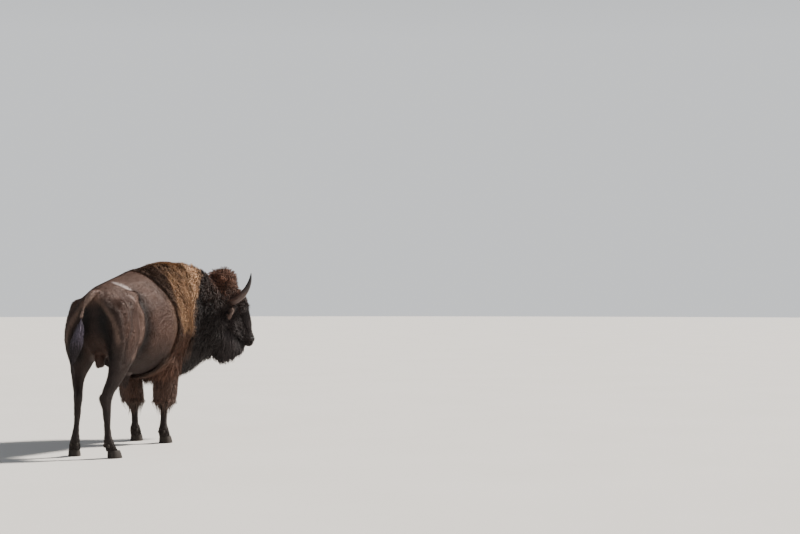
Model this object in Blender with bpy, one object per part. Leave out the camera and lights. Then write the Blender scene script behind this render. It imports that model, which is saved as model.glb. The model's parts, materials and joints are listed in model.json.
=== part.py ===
"""An adult plains bison bull standing with its head and neck turned to its right.

Metres. The animal faces -Y, its left side is +X, and its hooves stand on Z = 0.
The solids carry the outline out to the tips of the coat.
"""

import math

import bmesh
import bpy
import numpy as np
from mathutils import Vector

for leftover in list(bpy.data.objects):
    bpy.data.objects.remove(leftover, do_unlink=True)

GAP = 0.0003


def at(ahead, right, up):
    """A place given in metres ahead of the rump, to the animal's right and above the ground."""
    return Vector((-right, -ahead, up))


# ------------------------------------------------------------------ the head's own directions
# The head is turned 45 degrees to the right and its face hangs 65 degrees below level.
POLL = at(2.12, 0.496, 1.33)
FORWARD = at(0.7065, 0.708, 0.0).normalized()
OUTWARD = at(-0.708, 0.7065, 0.0).normalized()
UP = Vector((0.0, 0.0, 1.0))
DOWN_FACE = (FORWARD * 0.4226 - UP * 0.9063).normalized()
OFF_FACE = (FORWARD * 0.9063 + UP * 0.4226).normalized()


def on_head(forward, up, out):
    """A place near the head, level with the animal's own view: out is its right."""
    return POLL + FORWARD * forward + UP * up + OUTWARD * out


def on_face(down, off, out):
    """A place along the face: down towards the muzzle, off the poll's line, out to the right."""
    return POLL + DOWN_FACE * down + OFF_FACE * off + OUTWARD * out


# ------------------------------------------------------------------ shapes
def flowing(keys, steps):
    """Rows eased through the landmark rows, so that a form runs smoothly from one to the next."""
    rows = [np.array(key, float) for key in keys]
    rows = [2 * rows[0] - rows[1]] + rows + [2 * rows[-1] - rows[-2]]
    eased = []
    for a, b, c, d in zip(rows, rows[1:], rows[2:], rows[3:]):
        for step in range(steps):
            u = step / steps
            bend = (2 * a - 5 * b + 4 * c - d) * u**2 + (3 * b - a - 3 * c + d) * u**3
            eased.append(0.5 * (2 * b + (c - a) * u + bend))
    eased.append(rows[-2])
    return eased


def loft(bm, rings):
    """A closed body through rings of equal count."""
    loops = [[bm.verts.new(place) for place in ring] for ring in rings]
    for low, high in zip(loops, loops[1:]):
        for k in range(len(low)):
            j = (k + 1) % len(low)
            bm.faces.new((low[k], low[j], high[j], high[k]))
    bm.faces.new(loops[0][::-1])
    bm.faces.new(loops[-1])


def finished(bm):
    """A separate piece with its faces turned outward and cut into triangles."""
    bmesh.ops.recalc_face_normals(bm, faces=bm.faces)
    bmesh.ops.triangulate(bm, faces=bm.faces)
    return bm


def oval(centre, along, across, count=24, power=1.0):
    """A ring of places round a centre, with two half-axes as vectors."""
    ring = []
    for k in range(count):
        t = 2 * math.pi * k / count
        c, s = math.cos(t), math.sin(t)
        c = math.copysign(abs(c) ** power, c)
        s = math.copysign(abs(s) ** power, s)
        ring.append(centre + along * c + across * s)
    return ring


def ball(bm, centre, a, b, c, count=20, rows=10):
    """An ellipsoid with three half-axes as vectors."""
    rings = []
    for row in range(1, rows):
        t = math.pi * row / rows
        rings.append(oval(centre - c * math.cos(t), a * math.sin(t), b * math.sin(t), count))
    loft(bm, rings)


def muscle(bm, ahead, right, up, long, wide, tall, lean=0.0):
    """A muscle as an ellipsoid, leaning forward at its top by the given angle."""
    tip = at(math.sin(lean), 0, math.cos(lean)) * tall
    nose = at(math.cos(lean), 0, -math.sin(lean)) * long
    ball(bm, at(ahead, right, up), nose, at(0, wide, 0), tip)


# ------------------------------------------------------------------ trunk
def trunk(bm):
    """Ribs, loin and hump: ahead, back, widest height, belly, half width, how peaked the back is."""
    stations = [
        (0.04, 1.385, 1.22, 1.02, 0.120, 1.20),
        (0.14, 1.455, 1.17, 0.90, 0.205, 1.30),
        (0.34, 1.500, 1.14, 0.80, 0.262, 1.32),
        (0.55, 1.540, 1.12, 0.74, 0.285, 1.30),
        (0.80, 1.582, 1.08, 0.675, 0.325, 1.22),
        (1.05, 1.622, 1.06, 0.64, 0.370, 1.25),
        (1.30, 1.655, 1.06, 0.63, 0.375, 1.35),
        (1.55, 1.686, 1.08, 0.63, 0.360, 1.50),
        (1.78, 1.692, 1.10, 0.66, 0.305, 1.40),
        (1.95, 1.570, 1.12, 0.78, 0.190, 1.20),
    ]
    rings = []
    for ahead, back, wide_at, belly, half, peak in flowing(stations, 4):
        ring = []
        for k in range(48):
            t = 2 * math.pi * k / 48
            s, c = math.sin(t), math.cos(t)
            power = peak if c > 0 else 0.95
            reach = (back - wide_at) if c > 0 else (wide_at - belly)
            ring.append(at(ahead, half * math.copysign(abs(s) ** power, s), wide_at + reach * c))
        rings.append(ring)
    loft(bm, rings)


def rump(bm):
    """Croup, hook bones, pin bones, buttocks and the haunch muscles of both sides."""
    for side in (-1, 1):
        muscle(bm, 0.54, side * 0.195, 1.375, 0.10, 0.060, 0.055)
        muscle(bm, 0.33, side * 0.150, 1.23, 0.24, 0.125, 0.145, -0.25)
        muscle(bm, 0.085, side * 0.105, 1.25, 0.085, 0.065, 0.11)
        muscle(bm, 0.15, side * 0.186, 1.06, 0.15, 0.110, 0.31, 0.12)
        muscle(bm, 0.35, side * 0.205, 1.03, 0.17, 0.090, 0.26, 0.28)
        muscle(bm, 0.29, side * 0.196, 0.90, 0.20, 0.090, 0.17, 0.10)


def shoulder(bm):
    """Shoulder blade, upper arm and the woolly cape over them, both sides."""
    for side in (-1, 1):
        muscle(bm, 1.50, side * 0.225, 1.14, 0.25, 0.165, 0.36, 0.10)
        muscle(bm, 1.40, side * 0.215, 0.92, 0.20, 0.130, 0.18, -0.2)
        muscle(bm, 1.60, side * 0.130, 1.36, 0.20, 0.125, 0.21, 0.2)
    muscle(bm, 1.70, 0.0, 0.86, 0.22, 0.17, 0.20)


def neck(bm):
    """The neck turns right: ahead, right, top, bottom, half width, turn in degrees."""
    stations = [
        (1.50, 0.00, 1.680, 0.64, 0.350, 5),
        (1.75, 0.05, 1.703, 0.62, 0.325, 25),
        (1.93, 0.19, 1.668, 0.66, 0.280, 40),
        (2.04, 0.36, 1.560, 0.80, 0.235, 47),
        (2.11, 0.47, 1.450, 0.86, 0.185, 45),
    ]
    rings = []
    for ahead, right, top, low, half, turn in flowing(stations, 4):
        turn = math.radians(turn)
        across = at(-math.sin(turn), math.cos(turn), 0)
        centre = at(ahead, right, (top + low) / 2)
        rings.append(oval(centre, across * half, UP * (top - low) / 2, 36, 0.92))
    loft(bm, rings)


# ------------------------------------------------------------------ head
def skull(bm):
    """Head from poll to lips: down the face, front, back, half width, squareness."""
    stations = [
        (-0.12, 0.090, -0.080, 0.100, 1.00),
        (-0.04, 0.165, -0.120, 0.142, 0.95),
        (0.05, 0.205, -0.140, 0.156, 0.88),
        (0.11, 0.213, -0.140, 0.156, 0.85),
        (0.16, 0.210, -0.132, 0.148, 0.85),
        (0.24, 0.202, -0.100, 0.122, 0.86),
        (0.33, 0.188, -0.050, 0.097, 0.88),
        (0.41, 0.158, 0.000, 0.083, 0.88),
        (0.46, 0.152, 0.025, 0.084, 0.86),
        (0.498, 0.152, 0.045, 0.076, 0.86),
        (0.524, 0.128, 0.068, 0.052, 0.90),
    ]
    rings = []
    for down, front, back, half, power in flowing(stations, 4):
        centre = on_face(down, (front + back) / 2, 0)
        rings.append(oval(centre, OUTWARD * half, OFF_FACE * (front - back) / 2, 32, power))
    loft(bm, rings)
    for side in (-1, 1):
        brow = on_face(0.120, 0.120, side * 0.136)
        ball(bm, brow, DOWN_FACE * 0.050, OFF_FACE * 0.050, OUTWARD * 0.034)
        cheek = on_face(0.17, -0.045, side * 0.096)
        ball(bm, cheek, DOWN_FACE * 0.13, OFF_FACE * 0.085, OUTWARD * 0.045)
        nostril = on_face(0.468, 0.122, side * 0.052)
        ball(bm, nostril, DOWN_FACE * 0.034, OFF_FACE * 0.030, OUTWARD * 0.034)


def chin(bm):
    """Lower jaw and lip under the muzzle."""
    stations = [
        (0.20, -0.125, 0.05, 0.085),
        (0.34, -0.070, 0.09, 0.068),
        (0.45, 0.005, 0.11, 0.062),
        (0.515, 0.035, 0.118, 0.056),
        (0.545, 0.055, 0.105, 0.042),
    ]
    rings = []
    for down, back, front, half in flowing(stations, 3):
        centre = on_face(down, (front + back) / 2, 0)
        rings.append(oval(centre, OUTWARD * half, OFF_FACE * (front - back) / 2, 24, 0.9))
    loft(bm, rings)


def bonnet(bm):
    """The tall mop of hair between the horns: forward, up, half length, half width."""
    stations = [
        (0.030, -0.080, 0.150, 0.150),
        (0.015, -0.020, 0.150, 0.160),
        (0.000, 0.060, 0.130, 0.158),
        (-0.005, 0.140, 0.122, 0.152),
        (-0.005, 0.205, 0.112, 0.142),
        (-0.005, 0.250, 0.092, 0.118),
        (-0.005, 0.277, 0.060, 0.080),
        (-0.005, 0.288, 0.020, 0.030),
    ]
    rings = []
    for forward, up, long, wide in flowing(stations, 3):
        rings.append(oval(on_head(forward, up, 0), FORWARD * long, OUTWARD * wide, 28, 0.95))
    loft(bm, rings)
    ball(bm, on_head(0.12, -0.035, 0), FORWARD * 0.105, OUTWARD * 0.115, UP * 0.085, 24, 12)
    for side in (-1, 1):
        ball(bm, on_head(0.01, -0.01, side * 0.105), FORWARD * 0.10, OUTWARD * 0.065, UP * 0.12)


def beard(bm):
    """The beard hangs from chin, jaw and throat: forward, up, half length, half width."""
    stations = [
        (0.020, -0.26, 0.155, 0.120),
        (0.060, -0.38, 0.175, 0.112),
        (0.080, -0.455, 0.183, 0.098),
        (0.058, -0.510, 0.152, 0.082),
        (0.045, -0.560, 0.104, 0.060),
        (0.058, -0.595, 0.052, 0.036),
        (0.066, -0.612, 0.016, 0.014),
    ]
    rings = []
    for forward, up, long, wide in flowing(stations, 4):
        rings.append(oval(on_head(forward, up, 0), FORWARD * long, OUTWARD * wide, 24))
    loft(bm, rings)


def mane(bm):
    """The throat mane hangs under the neck back to the brisket."""
    stations = [
        (1.50, 0.00, 0.95, 0.600, 0.20, 5),
        (1.68, 0.02, 1.00, 0.610, 0.21, 20),
        (1.81, 0.10, 1.00, 0.635, 0.19, 32),
        (1.885, 0.165, 1.00, 0.655, 0.175, 40),
        (1.935, 0.225, 1.00, 0.685, 0.150, 45),
        (1.985, 0.290, 1.02, 0.775, 0.140, 45),
        (2.04, 0.37, 1.05, 0.805, 0.120, 45),
        (2.10, 0.45, 1.05, 0.790, 0.105, 45),
    ]
    rings = []
    for ahead, right, top, low, half, turn in flowing(stations, 4):
        turn = math.radians(turn)
        across = at(-math.sin(turn), math.cos(turn), 0)
        centre = at(ahead, right, (top + low) / 2)
        rings.append(oval(centre, across * half, UP * (top - low) / 2, 24, 1.0))
    loft(bm, rings)


# ------------------------------------------------------------------ legs
# Each leg: its side, how far its foot steps ahead, how far it splays out, and how its toes turn out.
STANCES = {
    "front_right": (1, -0.100, 0.000, 6),
    "front_left": (-1, 0.060, 0.000, 8),
    "hind_right": (1, -0.095, 0.025, 25),
    "hind_left": (-1, 0.000, 0.050, 12),
}


def eased_share(value):
    value = min(1.0, max(0.0, value))
    return value * value * (3 - 2 * value)


def stood(name, ahead, out, up, pivot):
    """A leg's point taken from square standing to its own stance, with its two level axes."""
    side, step, splay, toes = STANCES[name]
    turn = math.radians(toes) * eased_share((0.80 - up) / 0.25)
    share = max(0.0, (1.2 - up) / 1.2) ** 1.1
    low = max(0.0, (0.5 - up) / 0.5) ** 1.3
    x, y = ahead - pivot[0], out - pivot[1]
    moved = pivot[0] + x * math.cos(turn) - y * math.sin(turn) + step * share
    outward = pivot[1] + x * math.sin(turn) + y * math.cos(turn) + splay * low
    along = at(math.cos(turn), side * math.sin(turn), 0)
    across = at(-math.sin(turn), side * math.cos(turn), 0)
    return at(moved, side * outward, up), along, across


def leg(bm, name, stations, pivot):
    """Level rings down a leg: ahead, out, up, half length, half width."""
    rings = []
    for ahead, out, up, long, wide in flowing(stations, 3):
        centre, along, across = stood(name, ahead, out, up, pivot)
        rings.append(oval(centre, along * long, across * wide, 20))
    loft(bm, rings[::-1])


HIND_PIVOT = (0.10, 0.150)
FORE_PIVOT = (1.44, 0.168)


def hind_leg(bm, name):
    """Thigh, gaskin, hock, cannon and pastern."""
    stations = [
        (0.30, 0.150, 1.20, 0.24, 0.128),
        (0.29, 0.168, 1.02, 0.27, 0.130),
        (0.28, 0.182, 0.88, 0.235, 0.106),
        (0.23, 0.181, 0.77, 0.185, 0.086),
        (0.17, 0.170, 0.69, 0.135, 0.064),
        (0.12, 0.160, 0.62, 0.102, 0.052),
        (0.080, 0.150, 0.55, 0.080, 0.047),
        (0.060, 0.147, 0.49, 0.075, 0.046),
        (0.068, 0.147, 0.42, 0.055, 0.041),
        (0.076, 0.147, 0.31, 0.040, 0.033),
        (0.083, 0.147, 0.20, 0.041, 0.036),
        (0.090, 0.147, 0.135, 0.051, 0.048),
        (0.112, 0.147, 0.090, 0.048, 0.046),
        (0.134, 0.147, 0.052, 0.056, 0.051),
    ]
    leg(bm, name, stations, HIND_PIVOT)
    point, along, across = stood(name, 0.002, 0.147, 0.515, HIND_PIVOT)
    ball(bm, point, along * 0.030, across * 0.026, UP * 0.05)


def fore_leg(bm, name):
    """Forearm under its chaps of long hair, then knee, cannon and pastern."""
    spread = 0.022 if name == "front_left" else 0.0
    stations = [
        (1.46, 0.215, 1.00, 0.20, 0.130),
        (1.44, 0.205 + spread, 0.84, 0.165, 0.125),
        (1.43, 0.188 + spread, 0.72, 0.145, 0.126),
        (1.43, 0.178 + spread, 0.61, 0.138, 0.128),
        (1.435, 0.173 + spread, 0.50, 0.132, 0.126),
        (1.435, 0.170 + spread / 2, 0.41, 0.116, 0.110),
        (1.435, 0.169, 0.372, 0.086, 0.078),
        (1.440, 0.167, 0.345, 0.052, 0.048),
        (1.440, 0.166, 0.28, 0.042, 0.038),
        (1.440, 0.165, 0.18, 0.043, 0.039),
        (1.438, 0.165, 0.135, 0.053, 0.052),
        (1.458, 0.165, 0.09, 0.050, 0.050),
        (1.480, 0.165, 0.052, 0.058, 0.055),
    ]
    leg(bm, name, stations, FORE_PIVOT)


def underside(bm):
    """The sheath with its tuft of hair, and the scrotum between the thighs."""
    muscle(bm, 0.80, 0.0, 0.66, 0.10, 0.045, 0.075)
    muscle(bm, 0.80, 0.0, 0.60, 0.035, 0.030, 0.055)
    muscle(bm, 0.20, 0.0, 0.815, 0.060, 0.055, 0.080)


# ------------------------------------------------------------------ one body
def whole_body():
    """All of the flesh and hair as one closed skin of even small faces."""
    bm = bmesh.new()
    trunk(bm)
    rump(bm)
    shoulder(bm)
    neck(bm)
    skull(bm)
    chin(bm)
    bonnet(bm)
    beard(bm)
    mane(bm)
    for name in ("hind_right", "hind_left"):
        hind_leg(bm, name)
    for name in ("front_right", "front_left"):
        fore_leg(bm, name)
    underside(bm)
    bmesh.ops.recalc_face_normals(bm, faces=bm.faces)
    return bm


def evaluated(bm, settings):
    """The bmesh after a list of modifiers, each a type and its values."""
    mesh = bpy.data.meshes.new("work")
    bm.to_mesh(mesh)
    work = bpy.data.objects.new("work", mesh)
    bpy.context.scene.collection.objects.link(work)
    weights = {}
    layer = bm.verts.layers.float.get("ease")
    if layer:
        group = work.vertex_groups.new(name="ease")
        bm.verts.ensure_lookup_table()
        for vert in bm.verts:
            group.add([vert.index], vert[layer], "REPLACE")
    for kind, values in settings:
        modifier = work.modifiers.new(kind.lower(), kind)
        for key, value in values.items():
            setattr(modifier, key, value)
    graph = bpy.context.evaluated_depsgraph_get()
    made = bpy.data.meshes.new_from_object(work.evaluated_get(graph))
    bpy.data.objects.remove(work, do_unlink=True)
    result = bmesh.new()
    result.from_mesh(made)
    bpy.data.meshes.remove(made)
    bpy.data.meshes.remove(mesh)
    return result


def ease_by_place(bm, head, legs):
    """How much the skin is softened: fully on the trunk, less by these shares on head and legs."""
    layer = bm.verts.layers.float.new("ease")
    for vert in bm.verts:
        near_head = min(1.0, max(0.0, ((vert.co - POLL).dot(FORWARD) + 0.25) / 0.2))
        face = near_head * min(1.0, max(0.3, (vert.co.z - 0.75) / 0.15))
        low = min(1.0, max(0.0, (0.85 - vert.co.z) / 0.2))
        vert[layer] = 1.0 - max(head * face, legs * low)


body = evaluated(whole_body(), [("REMESH", {"mode": "VOXEL", "voxel_size": 0.011})])
ease_by_place(body, 0.88, 0.88)
body = evaluated(
    body,
    [
        ("SMOOTH", {"factor": 0.5, "iterations": 22, "vertex_group": "ease"}),
        ("SMOOTH", {"factor": 0.5, "iterations": 3}),
        ("TRIANGULATE", {}),
    ],
)
body.verts.layers.float.remove(body.verts.layers.float["ease"])
ease_by_place(body, 0.75, 0.30)
values = {"ratio": 4100 / len(body.faces), "vertex_group": "ease", "vertex_group_factor": 1.0}
body = evaluated(body, [("DECIMATE", values)])


# ------------------------------------------------------------------ hooves, horns, eyes, ears, tail
def hoof(name):
    """Two toes joined at the heel, parted in front by a cleft."""
    fore = name.startswith("front")
    pivot = FORE_PIVOT if fore else HIND_PIVOT
    long, wide = (0.068, 0.058) if fore else (0.065, 0.053)
    centre, along, across = stood(name, 1.503 if fore else 0.156, 0.165 if fore else 0.147, 0, pivot)
    bm = bmesh.new()
    rings = []
    for up, shrink, back in ((0.0, 1.0, 0.0), (0.035, 0.93, 0.006), (0.066, 0.83, 0.015)):
        ring = []
        for k in range(24):
            t = 2 * math.pi * k / 24
            c, s = math.cos(t), math.sin(t)
            x = long * math.copysign(abs(c) ** 0.85, c)
            y = wide * math.copysign(abs(s) ** 0.75, s)
            cleft = math.exp(-((y / (wide * 0.2)) ** 2))
            x -= long * cleft * (0.6 if c > 0 else -0.08)
            ring.append(centre + along * (x * shrink - back) + across * y * shrink + UP * up)
        rings.append(ring)
    loft(bm, rings)
    return finished(bm)


def dewclaw(name, hand):
    """One of the two small claws behind a fetlock."""
    fore = name.startswith("front")
    pivot = FORE_PIVOT if fore else HIND_PIVOT
    ahead, out = (1.405, 0.165) if fore else (0.062, 0.147)
    centre, along, across = stood(name, ahead, out + 0.024 * hand, 0.108, pivot)
    bm = bmesh.new()
    ball(bm, centre, along * 0.014, across * 0.013, UP * 0.022 - along * 0.006, 7, 4)
    return finished(bm)


def horn(side):
    """Out from the side of the head, then up and a little in to the tip."""
    path = [
        (0.010, -0.014, 0.112, 0.048),
        (0.024, -0.012, 0.155, 0.048),
        (0.050, 0.006, 0.205, 0.043),
        (0.084, 0.048, 0.255, 0.036),
        (0.116, 0.105, 0.283, 0.028),
        (0.143, 0.170, 0.290, 0.019),
        (0.159, 0.225, 0.282, 0.010),
        (0.166, 0.258, 0.273, 0.004),
    ]
    bm = bmesh.new()
    rows = flowing(path, 1)
    rings = []
    for i, (forward, up, out, thick) in enumerate(rows):
        here = on_head(forward, up, out * side)
        before = rows[max(i - 1, 0)]
        after = rows[min(i + 1, len(rows) - 1)]
        way = on_head(after[0], after[1], after[2] * side) - on_head(before[0], before[1], before[2] * side)
        way.normalize()
        a = way.cross(FORWARD).normalized()
        b = way.cross(a).normalized()
        rings.append(oval(here, a * thick, b * thick, 10))
    loft(bm, rings)
    return finished(bm)


EYE_AT = (0.150, 0.094, 0.146)


def eye(side):
    """The eyeball, set in the side of the head."""
    bm = bmesh.new()
    down, off, out = EYE_AT
    centre = on_face(down, off, out * side)
    ball(bm, centre, DOWN_FACE * 0.0205, OFF_FACE * 0.0205, OUTWARD * 0.0205, 12, 7)
    return finished(bm)


def ear(side):
    """A leaf-shaped hairy ear behind and below the horn, cupped towards the front."""
    root = on_head(0.050, -0.082, 0.130 * side)
    tip = on_head(-0.066, -0.186, 0.262 * side)
    way = (tip - root).normalized()
    flat = (way.cross(FORWARD)).normalized()
    thin = way.cross(flat).normalized()
    if thin.dot(FORWARD) < 0:
        thin = -thin
    bm = bmesh.new()
    rings = []
    stations = [
        (0.00, 0.022, 0.018),
        (0.22, 0.035, 0.020),
        (0.42, 0.042, 0.018),
        (0.62, 0.040, 0.016),
        (0.80, 0.029, 0.013),
        (0.93, 0.015, 0.008),
        (1.00, 0.004, 0.004),
    ]
    for share, wide, thick in stations:
        centre = root + (tip - root) * share
        ring = []
        for k in range(10):
            t = 2 * math.pi * k / 10
            c, s = math.cos(t), math.sin(t)
            cup = 0.35 * wide * c * c
            ring.append(centre + flat * wide * c + thin * (thick * s + cup - 0.1 * wide))
        rings.append(ring)
    loft(bm, rings)
    return finished(bm)


def tail_dock():
    """The tail's fleshy part, hanging a little to the left."""
    path = [
        (0.105, 0.020, 1.400, 0.042),
        (0.045, 0.013, 1.400, 0.040),
        (-0.010, -0.008, 1.365, 0.034),
        (-0.040, -0.035, 1.300, 0.027),
        (-0.055, -0.056, 1.225, 0.021),
        (-0.060, -0.064, 1.170, 0.017),
    ]
    bm = bmesh.new()
    rings = []
    rows = flowing(path, 2)
    for i, (ahead, right, up, thick) in enumerate(rows):
        before = rows[max(i - 1, 0)]
        after = rows[min(i + 1, len(rows) - 1)]
        way = (at(*after[:3]) - at(*before[:3])).normalized()
        a = way.cross(at(0, 1, 0)).normalized()
        b = way.cross(a).normalized()
        rings.append(oval(at(ahead, right, up), a * thick, b * thick, 10))
    loft(bm, rings)
    return finished(bm)


def tail_switch():
    """The tuft of long hair at the tail's end."""
    stations = [
        (-0.0605, -0.0645, 1.166, 0.024),
        (-0.064, -0.077, 1.12, 0.036),
        (-0.070, -0.087, 1.045, 0.053),
        (-0.072, -0.106, 0.955, 0.052),
        (-0.070, -0.127, 0.865, 0.034),
        (-0.068, -0.139, 0.800, 0.007),
    ]
    bm = bmesh.new()
    rings = []
    for ahead, right, up, thick in flowing(stations, 2):
        rings.append(oval(at(ahead, right, up), at(thick * 0.85, 0, 0), at(0, thick, 0), 12))
    loft(bm, rings[::-1])
    return finished(bm)


# ------------------------------------------------------------------ cutting and naming
def swollen(bm, by):
    """A copy moved out along its normals."""
    copy = bm.copy()
    copy.normal_update()
    for vert, normal in [(v, v.normal.copy()) for v in copy.verts]:
        vert.co += normal * by
    return copy


def carved(bm, cutter):
    """The bmesh less the cutter."""
    mesh = bpy.data.meshes.new("cutter")
    cutter.to_mesh(mesh)
    tool = bpy.data.objects.new("cutter", mesh)
    tool.hide_render = True
    bpy.context.scene.collection.objects.link(tool)
    values = {"operation": "DIFFERENCE", "solver": "EXACT", "object": tool}
    made = evaluated(bm, [("BOOLEAN", values)])
    bpy.data.objects.remove(tool, do_unlink=True)
    return made


def half(bm, place, normal):
    """The part of a bmesh on the normal's side of a plane, closed, half a gap short of it."""
    kept = bm.copy()
    result = bmesh.ops.bisect_plane(
        kept,
        geom=kept.verts[:] + kept.edges[:] + kept.faces[:],
        plane_co=place + normal * GAP / 2,
        plane_no=normal,
        clear_inner=True,
        dist=1e-7,
    )
    rim = [item for item in result["geom_cut"] if isinstance(item, bmesh.types.BMVert)]
    bmesh.ops.remove_doubles(kept, verts=rim, dist=0.013)
    rim = [edge for edge in kept.edges if len(edge.link_faces) == 1]
    filled = bmesh.ops.holes_fill(kept, edges=rim, sides=0)
    bmesh.ops.triangulate(kept, faces=filled["faces"])
    return kept


def split(bm, place, normal):
    """Both parts of a bmesh, the one on the normal's side first."""
    normal = normal.normalized()
    return half(bm, place, normal), half(bm, place, -normal)


def loose(bm):
    """Each separate closed piece of a bmesh, largest first."""
    bm.verts.ensure_lookup_table()
    left = set(bm.verts)
    pieces = []
    while left:
        start = left.pop()
        group, edge_of = {start}, [start]
        while edge_of:
            vert = edge_of.pop()
            for edge in vert.link_edges:
                other = edge.other_vert(vert)
                if other in left:
                    left.discard(other)
                    group.add(other)
                    edge_of.append(other)
        pieces.append({vert.index for vert in group})
    pieces.sort(key=len, reverse=True)
    made = []
    for keep in pieces:
        piece = bm.copy()
        piece.verts.ensure_lookup_table()
        gone = [vert for vert in piece.verts if vert.index not in keep]
        bmesh.ops.delete(piece, geom=gone, context="VERTS")
        made.append(piece)
    return made


def middle(bm):
    return sum((vert.co for vert in bm.verts), Vector()) / len(bm.verts)


NODES = []


def coloured(name, colour, roughness):
    material = bpy.data.materials.new(name)
    material.use_nodes = True
    shader = material.node_tree.nodes["Principled BSDF"]
    shader.inputs["Base Color"].default_value = (*colour, 1)
    shader.inputs["Roughness"].default_value = roughness
    shader.inputs["Metallic"].default_value = 0.0
    return material


DARK = coloured("dark_hair", (0.020, 0.013, 0.011), 0.8)
MOP = coloured("bonnet_hair", (0.11, 0.045, 0.022), 0.8)
CAPE = coloured("cape_wool", (0.30, 0.165, 0.075), 0.9)
SHORT = coloured("short_coat", (0.055, 0.036, 0.028), 0.6)
KERATIN = coloured("horn_sheath", (0.045, 0.022, 0.016), 0.4)
NAIL = coloured("hoof_wall", (0.03, 0.024, 0.02), 0.5)
BALL = coloured("eyeball", (0.012, 0.007, 0.005), 0.08)


def node(name, bm, material):
    """A named object from a bmesh."""
    mesh = bpy.data.meshes.new(name)
    bm.to_mesh(mesh)
    mesh.materials.append(material)
    for polygon in mesh.polygons:
        polygon.use_smooth = True
    made = bpy.data.objects.new(name, mesh)
    bpy.context.scene.collection.objects.link(made)
    NODES.append(made)


def main_cuts(flesh):
    """Parts the body with thin straight cuts and names the pieces."""
    head, rest = split(flesh, at(1.719 * 0.7065, 1.719 * 0.708, 0), FORWARD)
    top, head = split(head, on_head(0, 0.105, 0), UP + FORWARD * 0.35)
    node("bonnet", top, MOP)
    slope = (FORWARD * 0.17 - UP * 0.34).normalized()
    low, head = split(head, on_face(0.30, -0.085, 0), (DOWN_FACE * 0.75 - OFF_FACE * 0.66).normalized())
    node("beard", low, DARK)
    node("head", head, DARK)

    turned = at(0.906, 0.4226, 0)
    throat, rest = split(rest, at(1.78, 0.05, 0), turned)
    hanging, throat = split(throat, at(1.95, 0.24, 0.88), at(-0.30, -0.14, -0.94))
    node("throat_mane", hanging, DARK)
    node("neck", throat, CAPE)

    front, rest = split(rest, at(1.12, 0, 0), at(1, 0, 0))
    arms, front = split(front, at(0, 0, 0.60), at(0, 0, -1))
    node("forequarters", front, CAPE)
    middle_part, back = split(rest, at(0.66, 0, 0), at(1, 0, 0))
    node("barrel", middle_part, SHORT)
    thighs, back = split(back, at(0.10, 0, 0.722), at(-0.10, 0, -1))
    node("hindquarters", back, SHORT)
    for group, height, place in ((arms, 0.36, "front"), (thighs, 0.44, "hind")):
        low, high = split(group, at(0, 0, height), at(0, 0, -1))
        for part, where in ((high, "upper"), (low, "lower")):
            for piece in loose(part):
                hand = "left" if middle(piece).x > 0 else "right"
                name = f"{place}_leg_{where}_{hand}"
                if any(made.name == name for made in NODES):
                    continue
                node(name, piece, DARK)


whole = body
for name in STANCES:
    made = hoof(name)
    node(f"hoof_{name}", made, NAIL)
    whole = carved(whole, swollen(made, GAP))
    for hand, word in ((1, "outer"), (-1, "inner")):
        made = dewclaw(name, hand)
        node(f"dewclaw_{name}_{word}", made, NAIL)
        whole = carved(whole, swollen(made, GAP))
for hand, side in (("right", 1), ("left", -1)):
    made = eye(side)
    node(f"eye_{hand}", made, BALL)
    whole = carved(whole, swollen(made, GAP))
for hand, side in (("right", 1), ("left", -1)):
    sheath = horn(side)
    leaf = ear(side)
    whole = carved(whole, swollen(sheath, GAP))
    whole = carved(whole, swollen(leaf, GAP))
    leaf = carved(leaf, swollen(sheath, 2 * GAP))
    node(f"horn_{hand}", sheath, KERATIN)
    node(f"ear_{hand}", leaf, DARK)
dock = tail_dock()
whole = carved(whole, swollen(dock, GAP))
node("tail_dock", dock, SHORT)
node("tail_switch", tail_switch(), DARK)
main_cuts(whole)

# ------------------------------------------------------------------ stand it over the origin
lows, highs = [], []
for made in NODES:
    places = np.array([vert.co for vert in made.data.vertices])
    lows.append(places.min(axis=0))
    highs.append(places.max(axis=0))
low, high = np.min(lows, axis=0), np.max(highs, axis=0)
shift = Vector((-(low[0] + high[0]) / 2, -(low[1] + high[1]) / 2, -low[2]))
for made in NODES:
    for vert in made.data.vertices:
        vert.co += shift
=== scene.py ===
import json
import math
from types import SimpleNamespace

import bmesh
import bpy
import numpy as np
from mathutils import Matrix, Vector
from mathutils.bvhtree import BVHTree
from mathutils.kdtree import KDTree

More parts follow.
